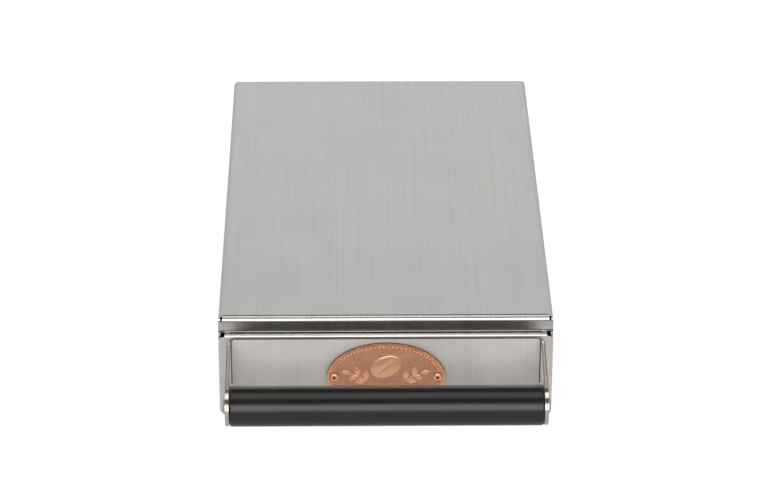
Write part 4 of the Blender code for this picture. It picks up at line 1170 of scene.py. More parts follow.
@dataclass
class Housing:
    """The folded shell, its base, its rear panel and the screws and buffers at its back."""

    finishes: Finishes
    half_width: float = 90.0
    depth: float = 300.0
    low: float = 8.0
    high: float = 60.0
    sheet: float = 1.2
    bend: float = 2.8
    front_lip: float = 9.0
    bottom_lip: float = 16.0
    relief_inner: float = 87.8
    relief_outer: float = 88.9
    relief_low: float = 57.4
    relief_high: float = 59.6
    rear_lip_back: float = 296.0
    rear_lip_width: float = 10.0
    panel_back: float = 297.5
    panel_sheet: float = 1.2
    panel_edge: float = 88.5
    panel_low: float = 9.5
    panel_high: float = 58.5
    screw_x: float = 83.8
    screw_heights: tuple = (("lower", 17.0), ("upper", 51.0))
    screw_seat: float = 297.8
    bumper_x: float = 45.0
    bumper_z: float = 30.75
    bumper: float = 9.3
    base_edge: float = 87.7
    base_front: float = 1.5
    base_rear: float = 294.5
    base_low: float = 9.5

    def build(self) -> list[Thing]:
        """Build every piece of the housing."""
        sheets = [self.build_shell(), self.build_rear_panel(), self.build_base()]
        return [*sheets, *self.build_screws(), *self.build_bumpers()]

    def build_shell(self) -> Thing:
        """Fold the shell from one sheet: top, sides, front lip and bottom lips, with lips welded in at the rear.

        Returns:
            The piece.
        """
        bm = bmesh.new()
        wide = self.half_width
        block(bm, (-wide, 0, self.low), (wide, self.depth, self.high))
        lip_low = self.high - self.front_lip
        for height in (lip_low, lip_low - 0.3):
            cut_across(bm, (0, 0, height), (0, 0, 1))
        for side in (-1, 1):
            cut_across(bm, (side * (wide - self.bottom_lip), 0, 0), (1, 0, 0))
        drop_faces(bm, lambda middle, normal: near(middle.y, self.depth))
        drop_faces(bm, lambda middle, normal: near(middle.y, 0) and middle.z < lip_low)
        drop_faces(bm, lambda middle, normal: near(middle.z, self.low) and abs(middle.x) < wide - self.bottom_lip)
        side_folds = edges_where(bm, lambda co: near(abs(co.x), wide) and near(co.z, self.high))
        bottom_folds = edges_where(bm, lambda co: near(abs(co.x), wide) and near(co.z, self.low))
        front_fold = edges_where(bm, lambda co: near(co.y, 0) and near(co.z, self.high))
        fold(bm, set(side_folds + bottom_folds + front_fold), self.bend)
        self.cut_reliefs(bm)
        self.add_rear_lips(bm)
        sizes = {"sheet": self.sheet, "edge": 0.16}
        return stand_in("housing_shell", "sheet", Body.HOUSING, Slot.SHEET, self.finishes.housing, bm, **sizes)

    def cut_reliefs(self, bm: Mesh) -> None:
        """Open the small relief in each front corner, where the lip's bend meets the side's.

        Args:
            bm: The shell in the making.
        """
        cut_across(bm, (0, self.bend, 0), (0, 1, 0))
        for height in (self.relief_low, self.relief_high):
            cut_across(bm, (0, 0, height), (0, 0, 1))
        for side in (-1, 1):
            for edge in (self.relief_inner, self.relief_outer):
                cut_across(bm, (side * edge, 0, 0), (1, 0, 0))

        def in_relief(middle: Vector, normal: Vector) -> bool:
            """Say whether a face lies in a relief."""
            between = self.relief_inner < abs(middle.x) < self.relief_outer
            return between and self.relief_low < middle.z < self.relief_high and middle.y < self.bend

        drop_faces(bm, in_relief)

    def add_rear_lips(self, bm: Mesh) -> None:
        """Add the outer faces of the lips that the rear panel is screwed to.

        Args:
            bm: The shell in the making.
        """
        inner = self.half_width - self.sheet
        top = self.high - self.sheet
        opening = inner - self.rear_lip_width
        sheets = [((-opening, top - self.rear_lip_width + self.sheet), (opening, top))]
        sheets += [((side * opening, self.low + self.sheet), (side * inner, top)) for side in (-1, 1)]
        for (x_low, z_low), (x_high, z_high) in sheets:
            made = bmesh.ops.create_grid(bm, x_segments=1, y_segments=1, size=0.5)["verts"]
            bmesh.ops.rotate(bm, cent=(0, 0, 0), matrix=Matrix.Rotation(-math.pi / 2, 3, "X"), verts=made)
            bmesh.ops.scale(bm, vec=(abs(x_high - x_low), 1, z_high - z_low), verts=made)
            middle = ((x_low + x_high) / 2, self.rear_lip_back, (z_low + z_high) / 2)
            bmesh.ops.translate(bm, vec=middle, verts=made)

    def build_rear_panel(self) -> Thing:
        """Build the plate that closes the back, its corners rounded and its edges deburred.

        Returns:
            The piece.
        """
        bm = bmesh.new()
        front = self.panel_back - self.panel_sheet
        block(bm, (-self.panel_edge, front, self.panel_low), (self.panel_edge, self.panel_back, self.panel_high))
        corners = [edge for edge in bm.edges if not near(edge.verts[0].co.y, edge.verts[1].co.y)]
        fold(bm, corners, self.bend - self.sheet - 0.3, 4)
        ease(bm, 0.15, 2, 60)
        return stand_in("rear_panel", "sheet", Body.HOUSING, Slot.SHEET, self.finishes.housing, bm)

    def build_base(self) -> Thing:
        """Build the base plate.

        Returns:
            The piece.
        """
        bm = bmesh.new()
        high = (self.base_edge, self.base_rear, self.base_low + self.sheet)
        block(bm, (-self.base_edge, self.base_front, self.base_low), high)
        corners = [edge for edge in bm.edges if not near(edge.verts[0].co.z, edge.verts[1].co.z)]
        fold(bm, corners, 1.0, 3)
        ease(bm, 0.12, 2, 60)
        return stand_in("base_plate", "sheet", Body.HOUSING, Slot.SHEET, self.finishes.tray, bm)

    def build_screws(self) -> list[Thing]:
        """Build the four button screws of the rear panel.

        Returns:
            The pieces.
        """
        pieces = []
        for name, x, height in four_places(self.screw_x, self.screw_heights):
            bm = hex_button_screw(head=5.5, height=1.8, socket=2.0, shank=3.0, length=6.0)
            placed(bm, Facing.REAR, (x, self.screw_seat, height))
            label = "rear_screw_" + name
            pieces.append(stand_in(label, "turned", Body.HOUSING, Slot.FASTENER, self.finishes.fastener, bm))
        return pieces

    def build_bumpers(self) -> list[Thing]:
        """Build the two rubber buffers that the tray meets when it is pushed in.

        Returns:
            The pieces.
        """
        pieces = []
        long = self.bumper
        profile = [(0, long + 1.5), (2.0, long + 1.5), (2.0, long), (5.5, long), (5.5, 6.2), (5.1, 5.8), (5.5, 5.4)]
        profile += [(5.5, 0.0), (2.2, 0.0), (1.8, 0.5), (0, 0.5)]
        for name, side in SIDES:
            bm = turned(profile, 40, rounded=[(5.5, 0.0, 1.4), (5.5, long, 0.5)])
            placed(bm, Facing.REAR, (side * self.bumper_x, self.rear_lip_back - self.bumper, self.bumper_z))
            label = "rear_bumper_" + name
            pieces.append(stand_in(label, "moulded", Body.HOUSING, Slot.RUBBER, self.finishes.rubber, bm))
        return pieces


@dataclass
class Feet:
    """Four rubber feet and the screws that hold them."""

    finishes: Finishes
    x: float = 80.5
    rows: tuple = (("front", 25.0), ("rear", 275.0))
    head_seat: float = 4.2

    def build(self) -> list[Thing]:
        """Build the feet and their screws.

        Returns:
            The pieces.
        """
        pieces = []
        for row, y in self.rows:
            for name, side in SIDES:
                corner = f"{row}_{name}"
                pieces.append(self.build_foot(corner, side * self.x, y))
                bm = hex_button_screw(head=7.0, height=2.4, socket=2.5, shank=4.0, length=8.8)
                placed(bm, Facing.DOWN, (side * self.x, y, self.head_seat))
                label = "foot_screw_" + corner
                pieces.append(stand_in(label, "turned", Body.HOUSING, Slot.FASTENER, self.finishes.fastener, bm))
        return pieces

    def build_foot(self, corner: str, x: float, y: float) -> Thing:
        """Build one foot: a tapered plug with two ribs near its sole and a recess for the screw's head.

        Args:
            corner: Which foot it is.
            x: Where it stands across.
            y: Where it stands along the depth.

        Returns:
            The foot.
        """
        profile = [(8.0, 7.7), (8.0, 6.9), (7.62, 4.6), (7.42, 4.4), (7.56, 4.2), (7.28, 2.6), (7.08, 2.4), (7.22, 2.2)]
        profile += [(7.0, 0.8), (6.2, 0.0), (3.8, 0.0), (3.8, 4.5), (2.3, 4.5), (2.3, 7.7)]
        rounded = [(8.0, 7.7, 0.3), (6.2, 0.0, 0.3), (3.8, 0.0, 0.25), (7.0, 0.8, 0.3)]
        bm = turned(profile, 56, closed=True, rounded=rounded)
        placed(bm, Facing.UP, (x, y, 0))
        return stand_in("foot_" + corner, "moulded", Body.HOUSING, Slot.RUBBER, self.finishes.rubber, bm)


@dataclass
class Runners:
    """The extruded runners with their nylon strips and stop blocks."""

    finishes: Finishes
    front: float = 3.7
    rear: float = 288.8
    upper_section: tuple = ((88.5, 50.8), (79.5, 50.8), (79.5, 49.3), (87.0, 49.3), (87.0, 45.5), (79.5, 45.5))
    lower_section: tuple = ((79.5, 44.0), (87.0, 44.0), (87.0, 12.5), (75.5, 12.5), (75.5, 11.0))

    def build(self) -> list[Thing]:
        """Build both runners and what they carry.

        Returns:
            The pieces.
        """
        pieces = []
        for name, side in SIDES:
            pieces.append(self.build_runner(name, side))
            strip = self.eased_bar((79.8, self.front + 0.3, 45.8), (83.7, self.rear - 0.3, 47.0), side, 0.35)
            block_bar = self.eased_bar((84.3, self.front + 0.3, 45.8), (86.7, self.front + 8.3, 49.0), side, 0.5)
            for label, bm in (("glide_strip_" + name, strip), ("stop_block_" + name, block_bar)):
                pieces.append(stand_in(label, "moulded", Body.HOUSING, Slot.NYLON, self.finishes.nylon, bm))
        return pieces

    def build_runner(self, name: str, side: int) -> Thing:
        """Extrude one runner.

        Args:
            name: Which side it is on.
            side: -1 on the left and 1 on the right.

        Returns:
            The runner.
        """
        bm = bmesh.new()
        section = ((88.5, 11.0), *self.upper_section, *self.lower_section)
        outline = bm.faces.new([bm.verts.new((side * x, self.front, z)) for x, z in section])
        grown = bmesh.ops.extrude_face_region(bm, geom=[outline])["geom"]
        far = [item for item in grown if isinstance(item, Vert)]
        bmesh.ops.translate(bm, vec=(0, self.rear - self.front, 0), verts=far)
        weld(bm)
        ease(bm, 0.2, 2)
        return stand_in("runner_" + name, "extrusion", Body.HOUSING, Slot.ALUMINIUM, self.finishes.aluminium, bm)

    @staticmethod
    def eased_bar(low: Point, high: Point, side: int, edge: float) -> Mesh:
        """Make a bar with rounded edges on one side of the housing.

        Args:
            low: Its lowest corner on the right side.
            high: Its highest corner on the right side.
            side: -1 on the left and 1 on the right.
            edge: The rounding.

        Returns:
            The mesh.
        """
        bm = bmesh.new()
        ends = sorted((side * low[0], side * high[0]))
        block(bm, (ends[0], low[1], low[2]), (ends[1], high[1], high[2]))
        fold(bm, bm.edges[:], edge, 3)
        return bm


@dataclass
class Tray:
    """The grounds tray: a folded box with lips that hang in the runners and an ear on each lip that stops it."""

    finishes: Finishes
    half_width: float = 78.5
    front: float = -1.5
    rear: float = 286.4
    low: float = 14.2
    fold_z: float = 47.3
    corner: float = 4.0
    lip: float = 5.5
    lip_fold: float = 0.8
    ear_front: float = 212.3
    ear_rear: float = 220.3
    ear: float = 2.3
    sheet: float = 1.2

    def build(self) -> list[Thing]:
        """Build the tray.

        Returns:
            The pieces.
        """
        bm = bmesh.new()
        wide = self.half_width
        block(bm, (-wide, self.front, self.low), (wide, self.rear, self.fold_z))
        drop_faces(bm, lambda middle, normal: normal.z > 0.5)

        def corner(edge: Edge) -> bool:
            """Say whether an edge is upright or at the tray's bottom."""
            first, second = (vertex.co.z for vertex in edge.verts)
            return not near(first, second) or near(first, self.low)

        fold(bm, [edge for edge in bm.edges if corner(edge)], self.corner, 6)
        for side in (-1, 1):
            rim = [edge for edge in edges_where(bm, lambda co: near(co.x, side * wide)) if edge.is_boundary]
            grow(bm, rim, (side * self.lip, 0, 0))
        folds = edges_where(bm, lambda co: near(co.z, self.fold_z) and near(abs(co.x), wide))
        fold(bm, folds, self.lip_fold, 3)
        self.add_ears(bm)
        bmesh.ops.recalc_face_normals(bm, faces=bm.faces[:])
        face_outwards(bm, faces_where(bm, lambda middle, normal: near(middle.z, self.low))[0], (0, 0, -1))
        sizes = {"sheet": self.sheet, "edge": 0.16}
        return [stand_in("drawer_tray", "sheet", Body.DRAWER, Slot.SHEET, self.finishes.tray, bm, **sizes)]

    def add_ears(self, bm: Mesh) -> None:
        """Grow a stop ear from the edge of each lip.

        Args:
            bm: The tray in the making.
        """
        for y in (self.ear_front, self.ear_rear):
            cut_across(bm, (0, y, 0), (0, 1, 0))
        reach = self.half_width + self.lip
        for side in (-1, 1):

            def at_ear(co: Vector) -> bool:
                """Say whether a place is on the lip's edge between the ear's ends."""
                return near(co.x, side * reach) and self.ear_front - 0.01 < co.y < self.ear_rear + 0.01

            grow(bm, edges_where(bm, at_ear), (side * self.ear, 0, 0))


@dataclass
class DrawerFront:
    """The drawer's front panel: a flat sheet with rounded corners, its top edge turned back between them."""

    finishes: Finishes
    half_width: float = 90.0
    face: float = -2.8
    back: float = -0.3
    low: float = 1.5
    high: float = 50.4
    corner: float = 3.4
    bend: float = 1.2
    sheet: float = 1.0
    bend_steps: int = 10
    corner_steps: int = 12

    def build(self) -> list[Thing]:
        """Build the panel: draw its side view, run it across, then add the side strips and the corners.

        Returns:
            The pieces.
        """
        bm = bmesh.new()
        inside = self.half_width - self.corner
        flat_top = self.high - self.bend
        heights = (self.low, self.low + self.corner, flat_top - self.corner, flat_top)
        line = [(self.face, height) for height in heights]
        for step in range(1, self.bend_steps + 1):
            turn = math.pi / 2 * step / self.bend_steps
            line.append((self.face + self.bend * (1 - math.cos(turn)), flat_top + self.bend * math.sin(turn)))
        line.append((self.back, self.high))
        corners = [bm.verts.new((-inside, y, z)) for y, z in line]
        side_view = [bm.edges.new(pair) for pair in zip(corners, corners[1:])]
        grow(bm, side_view, (2 * inside, 0, 0))
        lowest, highest = heights[1] - 0.01, heights[2] + 0.01
        for side in (-1, 1):
            upright = edges_where(bm, lambda co: near(co.x, side * inside) and lowest < co.z < highest)
            grow(bm, upright, (side * self.corner, 0, 0))
            for way, pivot in ((-1, heights[1]), (1, heights[2])):
                self.spin_corner(bm, (side * inside, self.face, pivot), side * way, way)
        weld(bm)
        face_outwards(bm, faces_where(bm, lambda middle, normal: abs(normal.y) > 0.9)[0], (0, -1, 0))
        sizes = {"sheet": self.sheet, "edge": 0.18}
        return [stand_in("drawer_front", "sheet", Body.DRAWER, Slot.SHEET, self.finishes.panel, bm, **sizes)]

    def spin_corner(self, bm: Mesh, pivot: Point, turn: int, way: int) -> None:
        """Fill one rounded corner of the flat sheet.

        Args:
            bm: The panel.
            pivot: The rounding's centre.
            turn: 1 or -1, which way round it is filled.
            way: 1 at the top and -1 at the bottom.
        """
        start = bm.verts.new(pivot)
        end = bm.verts.new(Vector(pivot) + Vector((0, 0, way * self.corner)))
        line = bm.edges.new((start, end))
        spun(bm, [start, end, line], pivot, (0, 1, 0), turn * math.pi / 2, self.corner_steps)


@dataclass
class Bracket:
    """The U bracket that carries the bar, with its welded studs and their nuts."""

    finishes: Finishes
    web_back: float = -3.1
    sheet: float = 2.0
    low: float = 4.02
    high: float = 49.0
    arm_outer: float = 85.25
    bend: float = 2.7
    bar_y: float = -42.0
    bar_z: float = 29.6
    tip: float = 10.5
    tip_steps: int = 40
    bend_steps: int = 8
    arm_high: float = 47.6
    web_edge: float = 82.4
    web_corner: float = 1.3
    stud_x: float = 62.25
    stud_heights: tuple = (("lower", 21.7), ("upper", 41.0))
    nut_seat: float = 0.0

    def build(self) -> list[Thing]:
        """Build the bracket and its nuts."""
        return [self.build_plate(), *self.build_studs(), *self.build_nuts()]

    def tangent(self, start: Pair, side: int) -> float:
        """Find where a line from the shoulder touches the tip's circle.

        Args:
            start: The shoulder's Y and Z.
            side: 1 for the upper line and -1 for the lower.

        Returns:
            The angle about the bar's axis, from +Y towards +Z.
        """
        across = start[0] - self.bar_y
        up = start[1] - self.bar_z
        return math.atan2(up, across) + side * math.acos(self.tip / math.hypot(across, up))

    def build_plate(self) -> Thing:
        """Fold the plate: draw one arm's side view, turn it through the bend, run the web out and mirror it.

        Returns:
            The piece.
        """
        shoulder = self.web_back - self.bend
        bm = bmesh.new()
        upper = self.tangent((shoulder, self.arm_high), 1)
        lower = self.tangent((shoulder, self.low), -1) + 2 * math.pi
        axis = Vector((self.arm_outer, self.bar_y, self.bar_z))
        start = bm.verts.new(axis + self.tip * Vector((0, math.cos(upper), math.sin(upper))))
        spun(bm, [start], axis, (1, 0, 0), lower - upper, self.tip_steps)
        bmesh.ops.remove_doubles(bm, verts=bm.verts[:], dist=MERGE)
        ends = [vertex for vertex in bm.verts if len(vertex.link_edges) == 1]
        ends.sort(key=lambda vertex: vertex.co.z)
        corners = [bm.verts.new((self.arm_outer, shoulder, height)) for height in (self.low, self.arm_high)]
        bm.edges.new((ends[0], corners[0]))
        bm.edges.new((ends[1], corners[1]))
        hinge = bm.edges.new(corners)
        bmesh.ops.contextual_create(bm, geom=bm.edges[:])
        spun(bm, [hinge], (self.arm_outer - self.bend, shoulder, 0), (0, 0, 1), math.pi / 2, self.bend_steps)
        bmesh.ops.remove_doubles(bm, verts=bm.verts[:], dist=MERGE)
        for x in (self.web_edge, 0.0):
            self.run_web_to(bm, x)
        geometry = bm.verts[:] + bm.edges[:] + bm.faces[:]
        bmesh.ops.mirror(bm, geom=geometry, matrix=Matrix.Identity(4), merge_dist=MERGE, axis="X")
        self.raise_web(bm)
        bmesh.ops.recalc_face_normals(bm, faces=bm.faces[:])
        web = faces_where(bm, lambda centre, normal: near(centre.y, self.web_back) and abs(centre.x) < 60)
        face_outwards(bm, web[0], (0, 1, 0))
        piece = Piece(
            "handle_bracket_plate",
            Body.DRAWER,
            Slot.SHEET,
            [self.finishes.bracket, self.finishes.dark_cut, self.finishes.bright_cut],
            ["handle_bracket"],
            sheet=self.sheet,
            edge=0.2,
            rim=1,
        )
        return self.dress_rim(piece.make(bm))

    def run_web_to(self, bm: Mesh, x: float) -> None:
        """Extend the web's open end to a place across.

        Args:
            bm: The bracket in the making.
            x: Where the web then ends.
        """
        nearest = min(vertex.co.x for vertex in bm.verts)
        open_end = edges_where(bm, lambda co: near(co.x, nearest) and near(co.y, self.web_back))
        grow(bm, open_end, (x - nearest, 0, 0))

    def raise_web(self, bm: Mesh) -> None:
        """Carry the web up between the bends, above the arms, and round its two corners.

        Args:
            bm: The bracket in the making.
        """

        def on_shoulder(co: Vector) -> bool:
            """Say whether a place is on the web's upper edge, between the bends."""
            return near(co.z, self.arm_high) and near(co.y, self.web_back) and abs(co.x) < self.web_edge + 0.01

        top = grow(bm, edges_where(bm, on_shoulder), (0, 0, self.high - self.arm_high))
        bmesh.ops.bevel(
            bm,
            geom=[vertex for vertex in top if near(abs(vertex.co.x), self.web_edge)],
            offset=self.web_corner,
            offset_type="OFFSET",
            affect="VERTICES",
            segments=5,
            profile=0.5,
            material=-1,
        )

    def dress_rim(self, made: Thing) -> Thing:
        """Give the arms' ground edges their own finish, and leave the web's rim as the laser left it.

        Args:
            made: The bracket's object.

        Returns:
            The same object.
        """
        shoulder = FRONT_EDGE_Y + (self.web_back - self.bend) * MM
        for polygon in made.data.polygons:
            if polygon.material_index == 1 and polygon.center.y < shoulder + 0.001:
                polygon.material_index = 2
        return made

    def build_studs(self) -> list[Thing]:
        """Build the threaded studs that are welded to the web's back.

        Returns:
            The pieces.
        """
        pieces = []
        profile = [(0.0, 0.0), (2.0, 0.0)]
        for turn in range(8):
            profile += [(2.0, 1.6 + turn * 0.7), (1.66, 1.95 + turn * 0.7)]
        profile += [(1.5, 7.2), (1.1, 7.5), (0.0, 7.5)]
        for name, x, height in four_places(self.stud_x, self.stud_heights):
            bm = placed(turned(profile, 32), Facing.REAR, (x, self.web_back - 0.2, height))
            pieces.append(Piece("bracket_stud_" + name, Body.DRAWER, Slot.SHEET, [self.finishes.fastener]).make(bm))
        return pieces

    def build_nuts(self) -> list[Thing]:
        """Build the nuts inside the tray.

        Returns:
            The pieces.
        """
        pieces = []
        for name, x, height in four_places(self.stud_x, self.stud_heights):
            bm = hexagon_nut(across=7.0, height=3.2, bore=4.2)
            placed(bm, Facing.REAR, (x, self.nut_seat, height))
            label = "bracket_nut_" + name
            pieces.append(stand_in(label, "chamfered", Body.DRAWER, Slot.FASTENER, self.finishes.fastener, bm))
        return pieces


@dataclass
class HandleBar:
    """The black bar between the bracket's arms and the two screws that hold it."""

    finishes: Finishes
    radius: float = 10.75
    half_length: float = 82.95
    y: float = -42.0
    z: float = 29.6
    edge: float = 1.2
    bore: float = 2.6
    bore_depth: float = 6.0
    screw_seat: float = 85.55

    def build(self) -> list[Thing]:
        """Build the bar and its screws.

        Returns:
            The pieces.
        """
        bm = bored_rod(self.radius, self.half_length, self.bore, self.bore_depth, self.edge, steps=144, segments=5)
        placed(bm, Facing.RIGHT, (0, self.y, self.z))
        pieces = [stand_in("handle_bar", "turned", Body.DRAWER, Slot.GRIP, self.finishes.grip, bm)]
        for name, side in SIDES:
            bm = hex_button_screw(head=8.5, height=1.2, socket=3.0, shank=5.0, length=8.0)
            placed(bm, OUTWARD[side], (side * self.screw_seat, self.y, self.z))
            label = "handle_screw_" + name
            pieces.append(stand_in(label, "turned", Body.DRAWER, Slot.FASTENER, self.finishes.screw, bm))
        return pieces


@dataclass
class Badge:
    """The oval copper-coloured plate, its pressed motif and its rivets."""

    finishes: Finishes
    z: float = 26.51
    width: float = 63.5
    height: float = 41.6
    back: float = -5.4
    field_y: float = -6.3
    rim_y: float = -6.8
    rim: float = 1.0
    slope: float = 0.3
    inner_step: float = 0.25
    bead_inset: float = 1.25
    bead: float = 0.52
    rivet_x: float = 27.9
    rivet_room: float = 2.6
    beads: int = 76
    segments: int = 112

    def build(self) -> list[Thing]:
        """Build the plate, its motif and its rivets."""
        return [self.build_plate(), self.build_motif(), *self.build_rivets()]

    def build_plate(self) -> Thing:
        """Press the oval plate: a rim, a slope and a sunken field, with a fine step inside the rim.

        Returns:
            The piece.
        """
        bm = bmesh.new()
        thickness = self.back - self.rim_y
        oval = Matrix.Diagonal((self.width / 2, self.height / 2, thickness, 1))
        oval = Matrix.Translation((0, 0, thickness / 2)) @ oval
        bmesh.ops.create_cone(bm, cap_ends=True, segments=self.segments, radius1=1, radius2=1, depth=1, matrix=oval)
        for width, rise in ((self.rim, 0.0), (self.slope, self.rim_y - self.field_y), (self.inner_step, 0.0)):
            self.step_in(bm, width, rise)
        for face in self.field_faces(bm):
            face.material_index = 1
        # The side wall takes the dark copper: painted shade round the plate's outline.
        for face in faces_where(bm, lambda middle, normal: abs(normal.z) < 0.1):
            face.material_index = 2
        rim_edges = [edge for edge in bm.edges if edge.is_manifold and edge.calc_face_angle(0) > 0.7]
        fold(bm, rim_edges, 0.12, 3)
        placed(bm, Facing.FRONT, (0, self.back, self.z))
        finishes = [self.finishes.copper_rim, self.finishes.copper_field, self.finishes.copper_side_painted_shade]
        return Piece("badge_plate_pressed", Body.DRAWER, Slot.COPPER, finishes, ["badge_plate"]).make(bm)

    def step_in(self, bm: Mesh, width: float, rise: float) -> None:
        """Inset the plate's top face and raise or sink what it leaves.

        Args:
            bm: The plate.
            width: How far the inset goes in.
            rise: How far the inner face moves up.
        """
        bm.normal_update()
        bmesh.ops.inset_region(bm, faces=self.field_faces(bm), thickness=width, use_even_offset=True)
        bm.normal_update()
        bmesh.ops.translate(bm, vec=(0, 0, rise), verts=list(self.field_faces(bm)[0].verts))

    def field_faces(self, bm: Mesh) -> list[Face]:
        """Pick the plate's whole top face."""
        return [face for face in bm.faces if face.normal.z > 0.9 and len(face.verts) == self.segments]

    def build_motif(self) -> Thing:
        """Press a generic motif into the field: a ring of beads, and a coffee bean between two leafy twigs.

        Returns:
            The piece.
        """
        bm = bmesh.new()
        self.add_beads(bm)
        self.add_bean(bm, centre=(0.0, 6.2), long=8.6, short=6.1, tilt=math.radians(30))
        for side in (-1, 1):
            self.add_twig(bm, side)
        placed(bm, Facing.FRONT, (0, self.field_y, self.z))
        finishes = [self.finishes.copper_motif]
        return Piece("badge_motif_pressed", Body.DRAWER, Slot.COPPER, finishes, smooth=50).make(bm)

    def add_beads(self, bm: Mesh) -> None:
        """Set a ring of beads inside the rim, leaving room for the rivets.

        Args:
            bm: The motif.
        """
        wide, high = (size / 2 - self.rim - self.slope - self.bead_inset for size in (self.width, self.height))
        for bead in range(self.beads):
            angle = 2 * math.pi * (bead + 0.5) / self.beads
            x, z = wide * math.cos(angle), high * math.sin(angle)
            if abs(z) >= self.rivet_room:
                made = bmesh.ops.create_uvsphere(bm, u_segments=8, v_segments=6, radius=self.bead)["verts"]
                bmesh.ops.scale(bm, vec=(1, 1, 0.85), verts=made)
                bmesh.ops.translate(bm, vec=(x, z, 0), verts=made)

    @staticmethod
    def add_bean(bm: Mesh, centre: Pair, long: float, short: float, tilt: float) -> None:
        """Press a coffee bean: a flattened dome with an S-shaped groove along it.

        Args:
            bm: The motif.
            centre: Where it lies on the plate.
            long: Half its length.
            short: Half its width.
            tilt: How far it leans.
        """
        dome = bmesh.new()
        bmesh.ops.create_uvsphere(dome, u_segments=64, v_segments=40, radius=1.0)
        bmesh.ops.rotate(dome, cent=(0, 0, 0), matrix=Matrix.Rotation(math.pi / 2, 3, "X"), verts=dome.verts[:])
        for vertex in dome.verts:
            x, y, z = vertex.co
            groove = y - 0.16 * math.sin(x * math.pi)
            sink = 0.9 * math.exp(-((groove / 0.13) ** 2)) * max(0.0, 1 - x * x * 0.9)
            vertex.co = (x * long, y * short, z * 0.48 * (1 - sink))
        bmesh.ops.rotate(dome, cent=(0, 0, 0), matrix=Matrix.Rotation(tilt, 3, "Z"), verts=dome.verts[:])
        join(bm, dome, Facing.UP, (centre[0], centre[1], 0))

    def add_twig(self, bm: Mesh, side: int) -> None:
        """Press a curved twig with paired leaves beside the bean.

        Args:
            bm: The motif.
            side: -1 on the left and 1 on the right.
        """
        for step in range(2):
            x, y, lean = self.twig_place(0.14 + step * 0.40)
            for spread in (-1, 1):
                angle = lean + spread * math.radians(48)
                self.add_leaf(bm, (side * x, y), 6.4 - 0.7 * step, angle if side > 0 else math.pi - angle)
        x, y, lean = self.twig_place(0.9)
        self.add_leaf(bm, (side * x, y), 5.5, lean if side > 0 else math.pi - lean)
        places = [self.twig_place(step / 12) for step in range(13)]
        for (x0, y0, _), (x1, y1, _) in zip(places, places[1:]):
            self.add_rod(bm, (side * x0, y0), (side * x1, y1))

    @staticmethod
    def twig_place(share: float) -> tuple[float, float, float]:
        """Give a place along the twig, and which way the twig runs there.

        Args:
            share: 0 at its root and 1 at its tip.

        Returns:
            The place's two coordinates and the angle.
        """
        x = 9.0 + 10.6 * share
        y = -3.4 + 9.6 * share - 4.0 * share * share
        return x, y, math.atan2(9.6 - 8.0 * share, 10.6)

    @staticmethod
    def add_leaf(bm: Mesh, root: Pair, length: float, angle: float) -> None:
        """Press one pointed leaf with a sunken midrib.

        Args:
            bm: The motif.
            root: Where its stalk starts.
            length: Its length.
            angle: Where it points.
        """
        leaf = bmesh.new()
        bmesh.ops.create_uvsphere(leaf, u_segments=16, v_segments=8, radius=1.0)
        for vertex in leaf.verts:
            x, y, z = vertex.co
            share = (x + 1) / 2
            width = math.sin(math.pi * share) ** 0.75 * 0.27 if 0 < share < 1 else 0.0
            rib = 1 - 0.5 * math.exp(-((y / 0.22) ** 2))
            vertex.co = (share * length, y * width * length, z * 0.42 * rib * (0.35 + 0.65 * math.sin(math.pi * share)))
        bmesh.ops.rotate(leaf, cent=(0, 0, 0), matrix=Matrix.Rotation(angle, 3, "Z"), verts=leaf.verts[:])
        join(bm, leaf, Facing.UP, (root[0], root[1], 0))

    @staticmethod
    def add_rod(bm: Mesh, start: Pair, end: Pair) -> None:
        """Press a short rounded rod between two places.

        Args:
            bm: The motif.
            start: Where the rod starts.
            end: Where it ends.
        """
        rod = bmesh.new()
        bmesh.ops.create_uvsphere(rod, u_segments=10, v_segments=6, radius=1.0)
        along = Vector(end) - Vector(start)
        bmesh.ops.scale(rod, vec=(along.length * 0.72, 0.26, 0.32), verts=rod.verts[:])
        turn = Matrix.Rotation(math.atan2(along.y, along.x), 3, "Z")
        bmesh.ops.rotate(rod, cent=(0, 0, 0), matrix=turn, verts=rod.verts[:])
        middle = (Vector(start) + Vector(end)) / 2
        join(bm, rod, Facing.UP, (middle.x, middle.y, 0))

    def build_rivets(self) -> list[Thing]:
        """Build the two rivets, each with a small deep dimple in its domed head.

        Returns:
            The pieces.
        """
        pieces = []
        profile = [(0.0, 0.45), (0.62, 0.5), (0.85, 1.0), (1.25, 0.97), (1.85, 0.72), (2.22, 0.38), (2.3, 0.0)]
        profile += [(1.2, 0.0), (1.2, -3.2), (0.0, -3.2)]
        for name, side in SIDES:
            bm = turned(profile, 40)
            # The dimple's inside takes the dark cut-edge finish: painted shade in the dimple.
            inside = faces_where(bm, lambda middle, normal: math.hypot(middle.x, middle.y) < 0.8 and middle.z > 0)
            for face in inside:
                face.material_index = 1
            placed(bm, Facing.FRONT, (side * self.rivet_x, self.field_y - 0.3, self.z))
            label = "badge_rivet_" + name
            finishes = [self.finishes.copper_rim, self.finishes.dark_cut]
            pieces.append(Piece(label + "_headed", Body.DRAWER, Slot.COPPER, finishes, [label]).make(bm))
        return pieces


